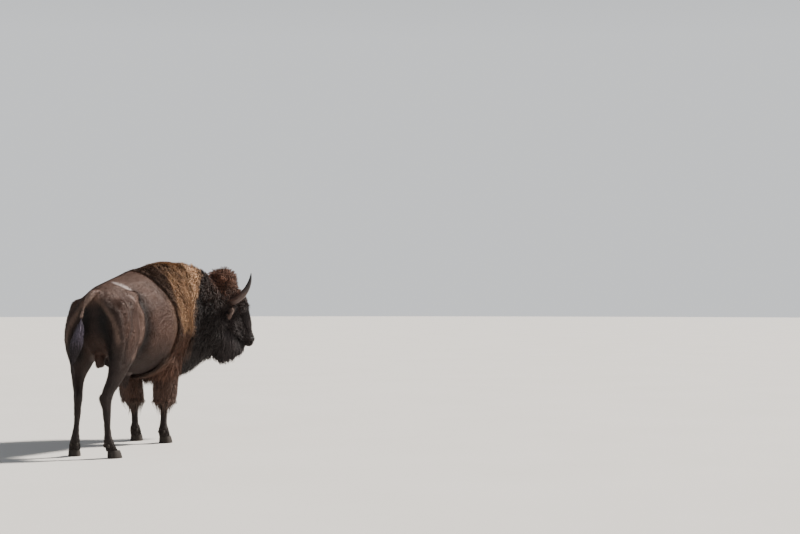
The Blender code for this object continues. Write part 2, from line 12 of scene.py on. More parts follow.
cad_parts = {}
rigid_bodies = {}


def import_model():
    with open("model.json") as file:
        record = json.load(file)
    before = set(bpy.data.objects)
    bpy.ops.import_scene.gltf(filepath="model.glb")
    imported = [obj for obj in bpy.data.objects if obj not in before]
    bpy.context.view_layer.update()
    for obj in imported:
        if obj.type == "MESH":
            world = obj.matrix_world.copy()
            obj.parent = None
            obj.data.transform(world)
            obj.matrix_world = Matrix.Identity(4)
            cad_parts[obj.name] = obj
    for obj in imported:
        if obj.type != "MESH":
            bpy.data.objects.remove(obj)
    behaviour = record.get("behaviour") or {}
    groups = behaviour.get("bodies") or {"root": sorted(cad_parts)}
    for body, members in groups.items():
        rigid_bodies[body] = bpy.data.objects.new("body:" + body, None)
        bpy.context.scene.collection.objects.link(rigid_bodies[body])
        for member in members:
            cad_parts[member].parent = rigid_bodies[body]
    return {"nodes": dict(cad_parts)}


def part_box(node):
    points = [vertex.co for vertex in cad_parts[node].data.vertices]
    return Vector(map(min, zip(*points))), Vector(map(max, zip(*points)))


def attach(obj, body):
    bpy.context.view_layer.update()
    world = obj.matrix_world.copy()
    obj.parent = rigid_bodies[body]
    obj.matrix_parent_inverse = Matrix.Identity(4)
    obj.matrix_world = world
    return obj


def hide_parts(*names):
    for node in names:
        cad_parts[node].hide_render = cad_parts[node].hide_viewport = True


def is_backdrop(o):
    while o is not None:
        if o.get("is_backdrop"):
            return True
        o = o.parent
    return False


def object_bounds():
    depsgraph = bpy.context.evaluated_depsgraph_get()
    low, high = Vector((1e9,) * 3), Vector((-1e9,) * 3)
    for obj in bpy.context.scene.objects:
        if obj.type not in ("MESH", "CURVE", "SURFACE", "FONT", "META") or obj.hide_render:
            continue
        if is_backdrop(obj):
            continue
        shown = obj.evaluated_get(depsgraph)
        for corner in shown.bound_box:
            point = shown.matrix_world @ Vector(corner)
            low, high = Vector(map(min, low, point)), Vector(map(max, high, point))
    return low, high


# ---- ground, light and viewpoint
# The bull stands on a wide pale studio floor. The key light comes over its right side and from beyond it,
# 40 degrees up, with a broad soft fill from the viewer's side.
for leftover in list(bpy.data.objects):
    bpy.data.objects.remove(leftover, do_unlink=True)
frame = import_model()
solid_low, solid_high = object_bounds()
solid_box = [list(solid_low), list(solid_high)]


def at(ahead, right, up):
    """A direction or step given ahead, to the bull's right and up."""
    return Vector((-right, -ahead, up))


# The head is turned 45 degrees to the right, and its face slopes 25 degrees off upright.
FORWARD = at(0.7065, 0.708, 0).normalized()
OUTWARD = at(-0.708, 0.7065, 0).normalized()
UP = Vector((0, 0, 1.0))
DOWN_FACE = (FORWARD * 0.4226 - UP * 0.9063).normalized()
OFF_FACE = (FORWARD * 0.9063 + UP * 0.4226).normalized()


def middle(node):
    low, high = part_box(node)
    return (low + high) / 2


# The head is measured from the poll between the horns, the body from the ground under the rump.
between_eyes = (middle("eye_right") + middle("eye_left")) / 2
POLL = between_eyes - DOWN_FACE * 0.15 - OFF_FACE * 0.094
RUMP = POLL - at(2.12, 0.496, 1.33)


def linked(name, data):
    """A new object, put in the scene."""
    made = bpy.data.objects.new(name, data)
    bpy.context.scene.collection.objects.link(made)
    return made


floor_form = bmesh.new()
bmesh.ops.create_circle(floor_form, cap_ends=True, segments=96, radius=70)
floor_mesh = bpy.data.meshes.new("floor")
floor_form.to_mesh(floor_mesh)
floor = linked("floor", floor_mesh)
floor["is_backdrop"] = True


def finish_called(name, roughness, specular=0.5):
    """A node material: its tree, its shader and the places that its patterns are laid by."""
    finish = bpy.data.materials.new(name)
    finish.use_nodes = True
    tree = finish.node_tree
    shader = tree.nodes["Principled BSDF"]
    shader.inputs["Roughness"].default_value = roughness
    shader.inputs["Specular IOR Level"].default_value = specular
    place = tree.nodes.new("ShaderNodeTexCoord").outputs["Object"]
    return finish, tree, shader, place


def pattern(tree, kind, place, **values):
    """A texture node laid by place."""
    made = tree.nodes.new("ShaderNode" + kind)
    for key, value in values.items():
        made.inputs[key].default_value = value
    tree.links.new(place, made.inputs["Vector"])
    return made.outputs


def graded(tree, value, first, last, start=0, end=1.0):
    """A value turned into a colour between two, the first up to start and the last from end on."""
    made = tree.nodes.new("ShaderNodeValToRGB")
    low, high = made.color_ramp.elements
    low.position, high.position = start, end
    low.color, high.color = (*first, 1), (*last, 1)
    tree.links.new(value, made.inputs["Fac"])
    return made.outputs["Color"]


def grey(level):
    return (level, level, level)


def multiplied(tree, first, second, factor=1.0):
    """One colour times another."""
    made = tree.nodes.new("ShaderNodeMix")
    made.data_type = "RGBA"
    made.blend_type = "MULTIPLY"
    made.inputs["Factor"].default_value = factor
    tree.links.new(first, made.inputs[6])
    tree.links.new(second, made.inputs[7])
    return made.outputs[2]


def raised(tree, shader, height, strength, distance):
    """Relief on a finish, from the height of a pattern."""
    made = tree.nodes.new("ShaderNodeBump")
    made.inputs["Strength"].default_value = strength
    made.inputs["Distance"].default_value = distance
    tree.links.new(height, made.inputs["Height"])
    tree.links.new(made.outputs["Normal"], shader.inputs["Normal"])
    return made


paint, tree, shader, place = finish_called("studio_floor", 0.85)
cloud = pattern(tree, "TexNoise", place, Scale=0.7)["Fac"]
tree.links.new(graded(tree, cloud, (0.6, 0.58, 0.55), (0.66, 0.64, 0.61)), shader.inputs["Base Color"])
floor_mesh.materials.append(paint)

world = bpy.data.worlds.new("studio")
bpy.context.scene.world = world
world.use_nodes = True
tree = world.node_tree
backdrop = tree.nodes["Background"]
direction = tree.nodes.new("ShaderNodeTexCoord")
height = tree.nodes.new("ShaderNodeSeparateXYZ")
tree.links.new(direction.outputs["Generated"], height.inputs["Vector"])
sky = graded(tree, height.outputs["Z"], (0.84, 0.86, 0.88), (0.19, 0.205, 0.23), 0.16, 0.42)
tree.links.new(sky, backdrop.inputs["Color"])
backdrop.inputs["Strength"].default_value = 1.0

TO_THE_RIGHT = Vector((-0.982, -0.19, 0))
AWAY = Vector((0.19, -0.982, 0))
FAR_OFF = 8


def aimed(made, way, facing):
    """Turns a lamp or camera so that the given side of it faces along a direction."""
    made.rotation_euler = way.to_track_quat(facing, "Y").to_euler()


def lamp(name, source, strength, spread, colour):
    """A soft far lamp that shines from the given direction."""
    light = bpy.data.lights.new(name, "SUN")
    light.energy = strength
    light.angle = math.radians(spread)
    light.color = colour
    made = linked(name, light)
    made.location = source * FAR_OFF
    aimed(made, source, "Z")


lamp("key", TO_THE_RIGHT * 0.78 + AWAY * 0.36 + UP * 0.72, 10.5, 7, (1.0, 0.94, 0.87))
lamp("fill", TO_THE_RIGHT * -0.25 - AWAY * 0.8 + UP * 0.55, 0.3, 50, (0.9, 0.95, 1.0))

EYE_LEVEL = 1.424
LOOKING_UP = math.radians(0.847)
lens = bpy.data.cameras.new("viewpoint")
lens.lens = 70.02
lens.sensor_width = 36
lens.clip_end = 300
viewpoint = linked("viewpoint", lens)
viewpoint.location = Vector((RUMP.x - 5.078, RUMP.y + 12.455, EYE_LEVEL))
aimed(viewpoint, AWAY.normalized() * math.cos(LOOKING_UP) + UP * math.sin(LOOKING_UP), "-Z")
bpy.context.scene.camera = viewpoint

# ---- the skin's plain form
# One hide over head, trunk, limbs, ears and tail, made from the solids of flesh and hair
# and drawn in under them by the depth of the coat that grows there.
FLESH = [
    name
    for name in frame["nodes"]
    if not name.startswith(("eye", "horn", "hoof", "dewclaw"))
]


def arrays_of(mesh):
    """A mesh's places and outward directions."""
    places = np.empty(len(mesh.vertices) * 3)
    mesh.vertices.foreach_get("co", places)
    normals = np.empty(len(mesh.vertices) * 3)
    mesh.vertices.foreach_get("normal", normals)
    return places.reshape(-1, 3), normals.reshape(-1, 3)


def moved(mesh, points):
    """Puts a mesh's places where the given rows say."""
    mesh.vertices.foreach_set("co", points.ravel())
    mesh.update()


def surface_of(mesh):
    """A mesh's surface, ready to be measured from."""
    points = arrays_of(mesh)[0]
    return BVHTree.FromPolygons([tuple(p) for p in points], [tuple(p.vertices) for p in mesh.polygons])


def joined(*names):
    """Solids gathered in one mesh, with the loose triangles of each joined up."""
    gathered = bmesh.new()
    for name in names:
        form = bmesh.new()
        form.from_mesh(frame["nodes"][name].data)
        bmesh.ops.remove_doubles(form, verts=form.verts, dist=1e-5)
        copy = bpy.data.meshes.new("copy")
        form.to_mesh(copy)
        gathered.from_mesh(copy)
    made = bpy.data.meshes.new("joined")
    gathered.to_mesh(made)
    return made


def worked(mesh, steps, share=None):
    """The mesh after a list of modifiers, and how far each place takes part in them."""
    work = linked("work", mesh)
    if share is not None:
        group = work.vertex_groups.new(name="share")
        level = np.round(np.clip(share, 0, 1) * 40).astype(int)
        for step in np.unique(level):
            group.add(np.nonzero(level == step)[0].tolist(), step / 40, "REPLACE")
    for kind, values in steps:
        modifier = work.modifiers.new(kind.lower(), kind)
        for key, value in values.items():
            setattr(modifier, key, value)
    graph = bpy.context.evaluated_depsgraph_get()
    made = bpy.data.meshes.new_from_object(work.evaluated_get(graph))
    bpy.data.objects.remove(work, do_unlink=True)
    return made


def ramp(value, low, high):
    """0 up to low, 1 from high on, and smooth between."""
    share = np.clip((value - low) / (high - low), 0, 1)
    return share * share * (3 - 2 * share)


def fade(value, low, high):
    """1 up to low and 0 from high on."""
    return 1 - ramp(value, low, high)


def mix(first, second, share):
    return first * (1 - share) + second * share


def placed(points):
    """Where points lie on the animal: along the body, about the head and down the face."""
    from_rump = points - np.array(RUMP)
    ahead, up = -from_rump[:, 1], from_rump[:, 2]
    from_poll = points - np.array(POLL)
    forward = from_poll @ FORWARD
    rise = from_poll @ UP
    out = from_poll @ OUTWARD
    down = from_poll @ DOWN_FACE
    off = from_poll @ OFF_FACE
    head = ramp(forward, -0.14, -0.02) * ramp(up, 0.6, 0.64)
    downs = [0.1, 0.2, 0.33, 0.41, 0.46, 0.52]
    jaw_line = np.interp(down, downs, [-0.16, -0.105, -0.05, 0, 0.03, 0.055])
    jaw = ramp(jaw_line - off, -0.008, 0.022) * ramp(down, 0.18, 0.26) * head
    bonnet = ramp(rise, -0.1, -0.03) * ramp(forward, -0.2, -0.12)
    bonnet = bonnet * fade(forward, 0.24, 0.28)
    face = head * (1 - jaw) * (1 - bonnet)
    neck = ramp(forward, -0.5, -0.34) * (1 - head) * ramp(ahead, 1.3, 1.5)
    heights = [0.6, 0.85, 1.1, 1.3, 1.45, 1.6]
    border = np.interp(up, heights, [1.08, 1.13, 1.22, 1.21, 1.1, 1.0])
    cape = ramp(ahead - border, -0.09, 0.12) * (1 - head) * ramp(up, 0.6, 0.78)
    low = fade(up, 0.36, 0.44)
    fore = ramp(ahead, 1.0, 1.12) * (1 - head)
    chaps = fore * ramp(up, 0.36, 0.44) * fade(up, 0.62, 0.78)
    throat = ramp(ahead, 1.54, 1.68) * fade(up, 0.86, 1.02)
    throat = throat * ramp(up, 0.5, 0.58) * (1 - head)
    tail = along(points, DOCK, 0.075) * fade(ahead, 0, 0.05)
    switch = fade(ahead, -0.045, -0.025) * fade(up, 1.17, 1.2)
    switch = switch * ramp(up, 0.7, 0.78)
    beside_ear = np.zeros(len(points))
    for hand in (-1, 1):
        beside_ear = np.maximum(beside_ear, along(points, EAR[hand], 0.055))
    ear = ramp(beside_ear, 0.45, 0.7)
    near_ear = ramp(beside_ear, 0.12, 0.4)
    pouch = ramp(along(points, POUCH, 0.062), 0.35, 0.65)
    return SimpleNamespace(**locals())


def near_path(points, path):
    """Distance from each point to a bent line, and how far along it the nearest place lies."""
    best = np.full(len(points), 1e9)
    share = np.zeros(len(points))
    count = len(path) - 1
    for k, (a, b) in enumerate(zip(path, path[1:])):
        a, b = np.array(a), np.array(b)
        way = b - a
        t = np.clip(((points - a) @ way) / (way @ way), 0, 1)
        gap = np.linalg.norm(points - (a + t[:, None] * way), axis=1)
        closer = gap < best
        best = np.where(closer, gap, best)
        share = np.where(closer, (k + t) / count, share)
    return best, share


def along(points, path, width):
    """A soft stroke along a bent line: 1 on it, fading over the given width."""
    return np.exp(-((near_path(points, path)[0] / width) ** 2))


def on_body(rows, hand=1):
    """A bent line given ahead, to the right and up from the rump, or its mirror image on the left."""
    return [RUMP + at(ahead, right * hand, up) for ahead, right, up in rows]


def on_head(forward, rise, out):
    return POLL + FORWARD * forward + UP * rise + OUTWARD * out


DOCK = on_body([(0, -0.004, 1.385), (-0.03, -0.025, 1.32), (-0.052, -0.05, 1.245), (-0.06, -0.064, 1.17)])
POUCH = on_body([(0.19, -0.005, 0.84), (0.2, 0, 0.79)])
EAR = {
    hand: [on_head(0.02, -0.11, 0.165 * hand), on_head(-0.066, -0.186, 0.262 * hand)]
    for hand in (-1, 1)
}


def coat_depth(spot):
    """How deep the coat lies at each place, in metres."""
    depth = np.full(len(spot.up), 0.009)
    for deep, share in (
        (0.04, spot.cape),
        (0.055, spot.neck),
        (0.05, spot.throat),
        (0.048, spot.chaps),
        (0.01 + 0.014 * ramp(-spot.off, 0, 0.1), spot.head),
        (0.007, spot.head * ramp(spot.down, 0.18, 0.3) * ramp(spot.off, -0.03, 0.05)),
        (0.04, spot.bonnet),
        (0.038, spot.jaw),
        (0.005, spot.low),
        (0.002, fade(spot.up, 0.12, 0.17)),
        (0.003, spot.tail),
        (0.026, spot.switch),
        (0.002, spot.pouch),
        (0.006, spot.ear),
    ):
        depth = mix(depth, deep, share)
    return depth


def evened(mesh, values, rounds):
    """Values on a mesh's places averaged with their neighbours."""
    ends = np.empty(len(mesh.edges) * 2, np.int32)
    mesh.edges.foreach_get("vertices", ends)
    a, b = ends.reshape(-1, 2).T
    count = len(mesh.vertices)
    degree = np.maximum(np.bincount(a, minlength=count) + np.bincount(b, minlength=count), 1)
    for _ in range(rounds):
        total = np.bincount(a, values[b], count) + np.bincount(b, values[a], count)
        values = 0.5 * values + 0.5 * total / degree
    return values


def remeshed(mesh):
    """The mesh with even faces all over, and without any small loose piece."""
    form = bmesh.new()
    form.from_mesh(worked(mesh, [("REMESH", {"mode": "VOXEL", "voxel_size": COARSE})]))
    left, groups = set(form.verts), []
    while left:
        stack, group = [left.pop()], []
        while stack:
            group.append(stack.pop())
            around = {edge.other_vert(group[-1]) for edge in group[-1].link_edges} & left
            left -= around
            stack += around
        groups.append(group)
    loose = [vert for group in sorted(groups, key=len)[:-1] for vert in group]
    bmesh.ops.delete(form, geom=loose, context="VERTS")
    made = bpy.data.meshes.new("remeshed")
    form.to_mesh(made)
    return made


def softness(spot):
    """How far the skin is eased: fully on the trunk, little on head, ears, tail and lower legs."""
    fine = [spot.head * (1 - 0.6 * spot.jaw), spot.tail, spot.ear, spot.pouch * 0.9]
    fine += [fade(spot.up, 0.45, 0.85), fade(spot.ahead, 0, 0.04)]
    return 1 - 0.95 * np.maximum.reduce(fine)


def smoothed(mesh, rounds):
    """The mesh eased, most where it may be softest."""
    step = {"factor": 0.5, "iterations": rounds, "vertex_group": "share"}
    return worked(mesh, [("SMOOTH", step)], softness(placed(arrays_of(mesh)[0])))


def sunk_under(point):
    """How far a place lies under the bull's outline, the nearest place on it, and the way out."""
    near, facing, _, gap = outline.find_nearest(Vector(point))
    return (gap if (Vector(point) - near).dot(facing) < 0 else -gap), near, facing


def filled_out(mesh, wanted, turns):
    """Brings the eased form evenly back out to the wanted depth under the outline."""
    points, normals = arrays_of(mesh)
    share = softness(placed(points))
    for _ in range(turns):
        short = np.array([sunk_under(point)[0] for point in points])
        short = evened(mesh, (short - wanted) * share, 50)
        moved(mesh, points + normals * short[:, None])
        points, normals = arrays_of(mesh)


COARSE = 0.0075
THICKEST_COAT = 0.32
PLAIN_TRIANGLES = 44000
base = remeshed(joined(*FLESH))
outline = surface_of(base)
base = smoothed(base, 130)
filled_out(base, 0, 2)
points, normals = arrays_of(base)
hollow = surface_of(base)
across = np.empty(len(points))
for k, (point, normal) in enumerate(zip(points, normals)):
    inward = Vector(-normal)
    hit = hollow.ray_cast(Vector(point) + inward * 0.002, inward, 0.3)
    across[k] = 0.3 if hit[3] is None else hit[3]
depth = np.minimum(coat_depth(placed(points)), THICKEST_COAT * evened(base, across, 12))
moved(base, points - normals * evened(base, depth, 10)[:, None])
base = smoothed(remeshed(base), 30)
filled_out(base, evened(base, coat_depth(placed(arrays_of(base)[0])), 10), 3)
spot = placed(arrays_of(base)[0])
fine = np.maximum(spot.head * ramp(spot.down, 0.02, 0.08) * (1 - spot.jaw), np.maximum(spot.tail, spot.ear))
fine = np.where(np.maximum(np.clip(fine, 0, 1), fade(spot.up, 0.4, 0.5)) > 0.5, 1.0, 0)
kept = min((2 * fine.sum() + PLAIN_TRIANGLES) / (2 * len(base.polygons)), 1.0)
plain_form = surface_of(base)
thinned = ("DECIMATE", {"ratio": kept, "vertex_group": "share", "vertex_group_factor": 1.0})
base = worked(base, [("TRIANGULATE", {}), thinned], fine)

# ---- the skin's folds, lids, nostrils and muscles
# Pushed in and out of the plain form as a sculptor would with a loop tool: bones and muscles
# on the haunch, wrinkles on the tail, and nostrils, lips, lids and brow on the face.
LONGEST_EDGE = 0.0235
form = bmesh.new()
form.from_mesh(base)


def halved(form, edges):
    """Cuts edges in two and the faces on them back into triangles."""
    bmesh.ops.subdivide_edges(form, edges=edges, cuts=1, use_grid_fill=True)
    bmesh.ops.triangulate(form, faces=[face for face in form.faces if len(face.verts) > 3])


def split_where(form, inside):
    """Halves the edges that lie in the given places."""
    chosen = inside(placed(np.array([vert.co for vert in form.verts])))
    form.verts.index_update()
    halved(form, [edge for edge in form.edges if all(chosen[vert.index] for vert in edge.verts)])


for _ in range(4):
    halved(form, [edge for edge in form.edges if edge.calc_length() > LONGEST_EDGE])
for vert in form.verts:
    vert.co = plain_form.find_nearest(vert.co)[0]

EYE_AT = {1: middle("eye_right"), -1: middle("eye_left")}
low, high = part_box("eye_right")
EYE_RADIUS = (high - low).z / 2


def near_eyes(points, reach):
    gaps = [np.linalg.norm(points - np.array(centre), axis=1) for centre in EYE_AT.values()]
    return np.minimum(*gaps) < reach


def near_mouth(spot, start):
    return (spot.down > start) & (spot.off > -0.02) & (spot.head > 0.5)


def near_nostrils(spot):
    gap = np.hypot(np.hypot(spot.down - 0.46, spot.off - 0.125), np.abs(spot.out) - 0.068)
    return (gap < 0.036) & (spot.head > 0.5)


split_where(form, lambda spot: near_eyes(spot.points, 0.046) | near_mouth(spot, 0.4))
split_where(form, lambda spot: near_eyes(spot.points, 0.036) | near_nostrils(spot) | near_mouth(spot, 0.45))
on_the_face = [
    vert
    for vert in form.verts
    if (vert.co - POLL).dot(DOWN_FACE) > 0.08 and (vert.co - POLL).dot(FORWARD) > -0.05
]
bmesh.ops.smooth_vert(
    form, verts=on_the_face, factor=0.4, use_axis_x=True, use_axis_y=True, use_axis_z=True
)
sculpt = bpy.data.meshes.new("skin")
form.to_mesh(sculpt)
points, normals = arrays_of(sculpt)
spot = placed(points)


def laid_on(surface, path):
    """The bent line laid close on a surface."""
    rows = [
        np.array(a) * (1 - t) + np.array(b) * t
        for a, b in zip(path, path[1:])
        for t in (0, 0.33, 0.67)
    ]
    return [surface.find_nearest(Vector(row))[0] for row in rows + [np.array(path[-1])]]


def pushed(points, path, width, height):
    """Raises or sinks the skin along a bent line."""
    return points + normals * (height * along(points, path, width))[:, None]


# Lines on the right flank, each given ahead, to the side and up from the rump.
VALLEY = [
    (0.6, 0.25, 1.36), (0.635, 0.285, 1.22), (0.645, 0.293, 1.1), (0.645, 0.285, 0.98), (0.62, 0.25, 0.88),
]
THIGH_RIM = [(0.46, 0.19, 1.41), (0.51, 0.239, 1.33), (0.545, 0.279, 1.165), (0.52, 0.255, 0.98)]
THIGH_RIM += [(0.42, 0.27, 0.91), (0.28, 0.28, 0.84)]
FOLDS = [
    (0.02, 0.006, [
        (0.02, 0.075, 1.33), (0.02, 0.13, 1.23), (0.02, 0.2, 1.12), (0.03, 0.235, 1.03), (0.05, 0.225, 0.92),
    ]),
    (0.045, -0.03, [(0, 0.05, 1.27), (0.02, 0.115, 1.13), (0.03, 0.145, 1.0), (0.06, 0.145, 0.9)]),
    (0.026, -0.014, [(0.12, 0.19, 1.27), (0.12, 0.25, 1.1), (0.12, 0.24, 0.95), (0.12, 0.2, 0.8)]),
    (0.022, -0.01, [(0.27, 0.25, 1.27), (0.24, 0.285, 1.08), (0.21, 0.25, 0.9)]),
    (0.022, -0.008, [(0.4, 0.27, 1.22), (0.37, 0.29, 1.02), (0.34, 0.27, 0.9)]),
    (0.058, -0.03, VALLEY),
    (0.026, 0.006, THIGH_RIM),
    (0.05, -0.016, [(0.6, 0.17, 1.45), (0.72, 0.19, 1.46), (0.84, 0.2, 1.47)]),
    (0.045, -0.014, [(0.36, 0.15, 1.43), (0.3, 0.2, 1.36), (0.28, 0.24, 1.28)]),
    (0.014, -0.004, [(0.86, 0.25, 1.42), (0.84, 0.33, 1.2), (0.86, 0.33, 1.0)]),
    (0.014, -0.004, [(0.94, 0.26, 1.44), (0.92, 0.335, 1.2), (0.94, 0.335, 1.0)]),
    (0.05, 0.004, [(0.5, 0.2, 1.42), (0.54, 0.21, 1.39)]),
    (0.038, 0.004, [(0.52, 0.25, 1.29), (0.55, 0.285, 1.15), (0.56, 0.285, 1.05), (0.51, 0.25, 0.94)]),
    (0.035, -0.005, [(1.05, 0.164, 1.545), (1.06, 0.231, 1.47), (1.1, 0.29, 1.39), (1.13, 0.33, 1.3)]),
]
for hand in (-1, 1):
    for width, height, rows in FOLDS:
        points = pushed(points, laid_on(outline, on_body(rows, hand)), width, height)
spine = on_body([(0.1, 0, 1.46), (0.5, 0, 1.54), (1.0, 0, 1.62)])
points = pushed(points, laid_on(outline, spine), 0.03, 0.004)
gap, share = near_path(points, DOCK)
rings = np.sin(share * 46 + 1.2 * np.sin(share * 19)) * np.exp(-((gap / 0.06) ** 2))
rings = rings * fade(spot.ahead, 0.02, 0.07)
points = points + normals * (0.0026 * rings)[:, None]


def on_face(rows, hand):
    """A bent line given down the face, off it and outward from the poll, on one side of the head."""
    return [POLL + DOWN_FACE * down + OFF_FACE * off + OUTWARD * (out * hand) for down, off, out in rows]


NOSTRIL = [(0.45, 0.104, 0.084), (0.458, 0.128, 0.074), (0.47, 0.144, 0.056)]
LIP = [
    (0.522, 0.128, 0.012), (0.52, 0.105, 0.05), (0.5, 0.078, 0.068), (0.46, 0.045, 0.078),
    (0.425, 0.022, 0.082),
]
CREASES = [
    (0.008, 0.0035, [(0.436, 0.106, 0.086), (0.444, 0.14, 0.066), (0.462, 0.16, 0.04)]),
    (0.008, 0.003, [(0.47, 0.1, 0.082), (0.484, 0.122, 0.072)]),
    (0.0065, -0.009, LIP),
    (0.013, 0.004, [(0.5, 0.112, 0.066), (0.47, 0.075, 0.08), (0.43, 0.05, 0.084)]),
    (0.02, -0.005, [(0.215, 0.06, 0.125), (0.3, 0.07, 0.095), (0.38, 0.08, 0.08)]),
    (0.016, 0.006, [(0.2, -0.01, 0.125), (0.3, 0.02, 0.1), (0.37, 0.03, 0.088)]),
    (0.018, -0.003, [(0.36, 0.15, 0.05), (0.42, 0.15, 0.055)]),
    (0.014, 0.004, [(0.1, 0.125, 0.15), (0.13, 0.138, 0.14), (0.165, 0.135, 0.13)]),
]
for hand in (-1, 1):
    nostril = along(points, laid_on(outline, on_face(NOSTRIL, hand)), 0.0105) ** 1.5
    into = (OUTWARD * hand * 0.55 + OFF_FACE * 0.55 - DOWN_FACE * 0.35).normalized()
    points = points - (0.024 * nostril)[:, None] * np.array(into)
    for width, height, rows in CREASES:
        points = pushed(points, on_face(rows, hand), width, height)

# Each eye's gaze, the line of its slit and the way up to its brow, and the lids shaped round them.
LID_RISE = 0.0245
LID_REACH = 0.036
GAZE = {
    hand: (OUTWARD * hand * 0.93 + FORWARD * 0.33 + UP * 0.1).normalized() for hand in (-1, 1)
}
SLIT = {}
BROW = {}
for hand in (-1, 1):
    towards_nose = FORWARD * 0.86 - UP * 0.42
    SLIT[hand] = (towards_nose - GAZE[hand] * towards_nose.dot(GAZE[hand])).normalized()
    lift = GAZE[hand].cross(SLIT[hand])
    BROW[hand] = lift if lift.z > 0 else -lift
    rel = points - np.array(EYE_AT[hand])
    u, v, w = rel @ SLIT[hand], rel @ BROW[hand], rel @ GAZE[hand]
    rho = np.sqrt(u * u + v * v)
    near = (rho < 0.04) & (w > -0.035) & (w < 0.07)
    lid = LID_RISE * np.cos(math.pi / 2 * np.minimum(rho / LID_REACH, 1)) ** 0.8
    crease = 0.0022 * np.exp(-(((rho - 0.0235) / 0.0028) ** 2)) * ramp(v, -0.004, 0.008)
    lid = lid - crease - 0.0012 * np.exp(-(((rho - 0.0215) / 0.0025) ** 2)) * ramp(-v, 0, 0.008)
    over = np.log(np.exp(w / 0.003) + np.exp(lid / 0.003)) * 0.003
    made = mix(over, lid, ramp(0.031 - rho, 0, 0.01))
    made = mix(w, made, ramp(0.04 - rho, 0, 0.01))
    bow = np.maximum(1 - (u / 0.021) ** 2, 0)
    edge = np.where(v > 0, v - 0.0145 * bow, -v - 0.011 * bow)
    sunk = np.sqrt(np.maximum(EYE_RADIUS**2 - rho**2, 0)) - 0.007
    made = mix(made, sunk, ramp(-edge, -0.0008, 0.002))
    points = np.where(near[:, None], points + (made - w)[:, None] * np.array(GAZE[hand]), points)

# The skin is drawn in where it comes close under the outline, and the trunk is eased once more.
inner = 0.005 * (1 - spot.low) * (1 - spot.face) * (1 - spot.tail) * (1 - spot.ear)
inner = 0.0035 + inner * (1 - spot.pouch)
for k in np.nonzero(~near_eyes(points, 0.045))[0]:
    sunk, _, facing = sunk_under(points[k])
    if sunk < inner[k]:
        points[k] += (sunk - inner[k]) * np.array(facing)


def spread(rows):
    return np.stack([evened(sculpt, rows[:, axis], 16) for axis in range(3)], axis=1)


eased = spread(points)
eased = eased + spread(points - eased)
points = mix(points, eased, ramp(softness(spot), 0.1, 0.6)[:, None])
moved(sculpt, points)


def rounded(name, mesh):
    """A new object whose faces are shaded as one smooth surface."""
    mesh.polygons.foreach_set("use_smooth", np.ones(len(mesh.polygons), bool))
    mesh.name = name
    return linked(name, mesh)


skin = rounded("skin", sculpt)

# ---- the colours that skin and coat share
# Sleek grey-brown on barrel and haunch, a sun-bleached golden cape over hump and shoulder,
# near-black neck, face, beard and legs, and a rust-brown mop between the horns. Shade and highlights
# are painted in too: in the haunch's hollows and on its rims, behind the wool's edge, on the rump's
# rear face, on the top of the switch and on the ears.


def tone(red, green, blue):
    """A colour as the eye reads it, turned to light."""
    value = np.array([red, green, blue]) / 255
    return np.where(value <= 0.04045, value / 12.92, ((value + 0.055) / 1.055) ** 2.4)


def drift(points, size, seed):
    """Smooth random values from -1 to 1 that change over about the given size."""
    grid = points / size + seed * 17.31
    cell = np.floor(grid).astype(np.int64)
    t = grid - cell
    t = t * t * (3 - 2 * t)
    total = np.zeros(len(points))
    for corner in np.ndindex(2, 2, 2):
        x, y, z = (cell + corner).T
        key = x * 73856093 ^ y * 19349663 ^ z * 83492791
        key = (key ^ (key >> 13)) * 1274126177 & 0x7FFFFFFF
        value = (key % 100003) / 50001.5 - 1
        total += value * np.prod(np.where(corner, t, 1 - t), axis=1)
    return total


hide = surface_of(sculpt)
HOLLOW = [(0, 0.05, 1.26), (0.01, 0.095, 1.15), (0.02, 0.115, 1.02), (0.06, 0.12, 0.88)]
THIGH = [(0.27, 0.27, 1.24), (0.25, 0.285, 1.1), (0.14, 0.262, 1.0), (0.13, 0.25, 0.85)]
# Painted shade and painted highlights on both haunches: near-black shade in the hollow beside the tail, dark
# shade in the flank's valley and in a crease of the thigh, and pale highlights along the thigh's front rim
# and on the edge of a crease.
STRIPES = [
    (tone(8, 7, 8), HOLLOW, 0.076, 0.97),
    (tone(28, 22, 21), VALLEY, 0.078, 0.9),
    (tone(142, 116, 104), THIGH_RIM, 0.03, 0.6),
    (tone(50, 39, 36), THIGH, 0.026, 0.55),
    (tone(150, 132, 126), [(0.205, 0.268, 1.25), (0.165, 0.285, 1.17)], 0.014, 0.5),
]
# A pale painted highlight along the rim of each buttock.
BUTTOCK = [(0.04, 0.041, 1.36), (0.022, 0.139, 1.247), (0.019, 0.217, 1.114), (0.025, 0.241, 0.98)]
# A near-white painted highlight on the right hip, where the light glints on the sleek coat.
WORN = [(0.41, 0.055, 1.49), (0.46, 0.11, 1.47), (0.52, 0.158, 1.44)]
# A painted shadow along the rear edge of the cape's wool, where it stands proud of the sleek coat.
WOOL_EDGE = [(1.07, 0.164, 1.54), (1.07, 0.231, 1.47), (1.15, 0.28, 1.41), (1.27, 0.33, 1.33)]


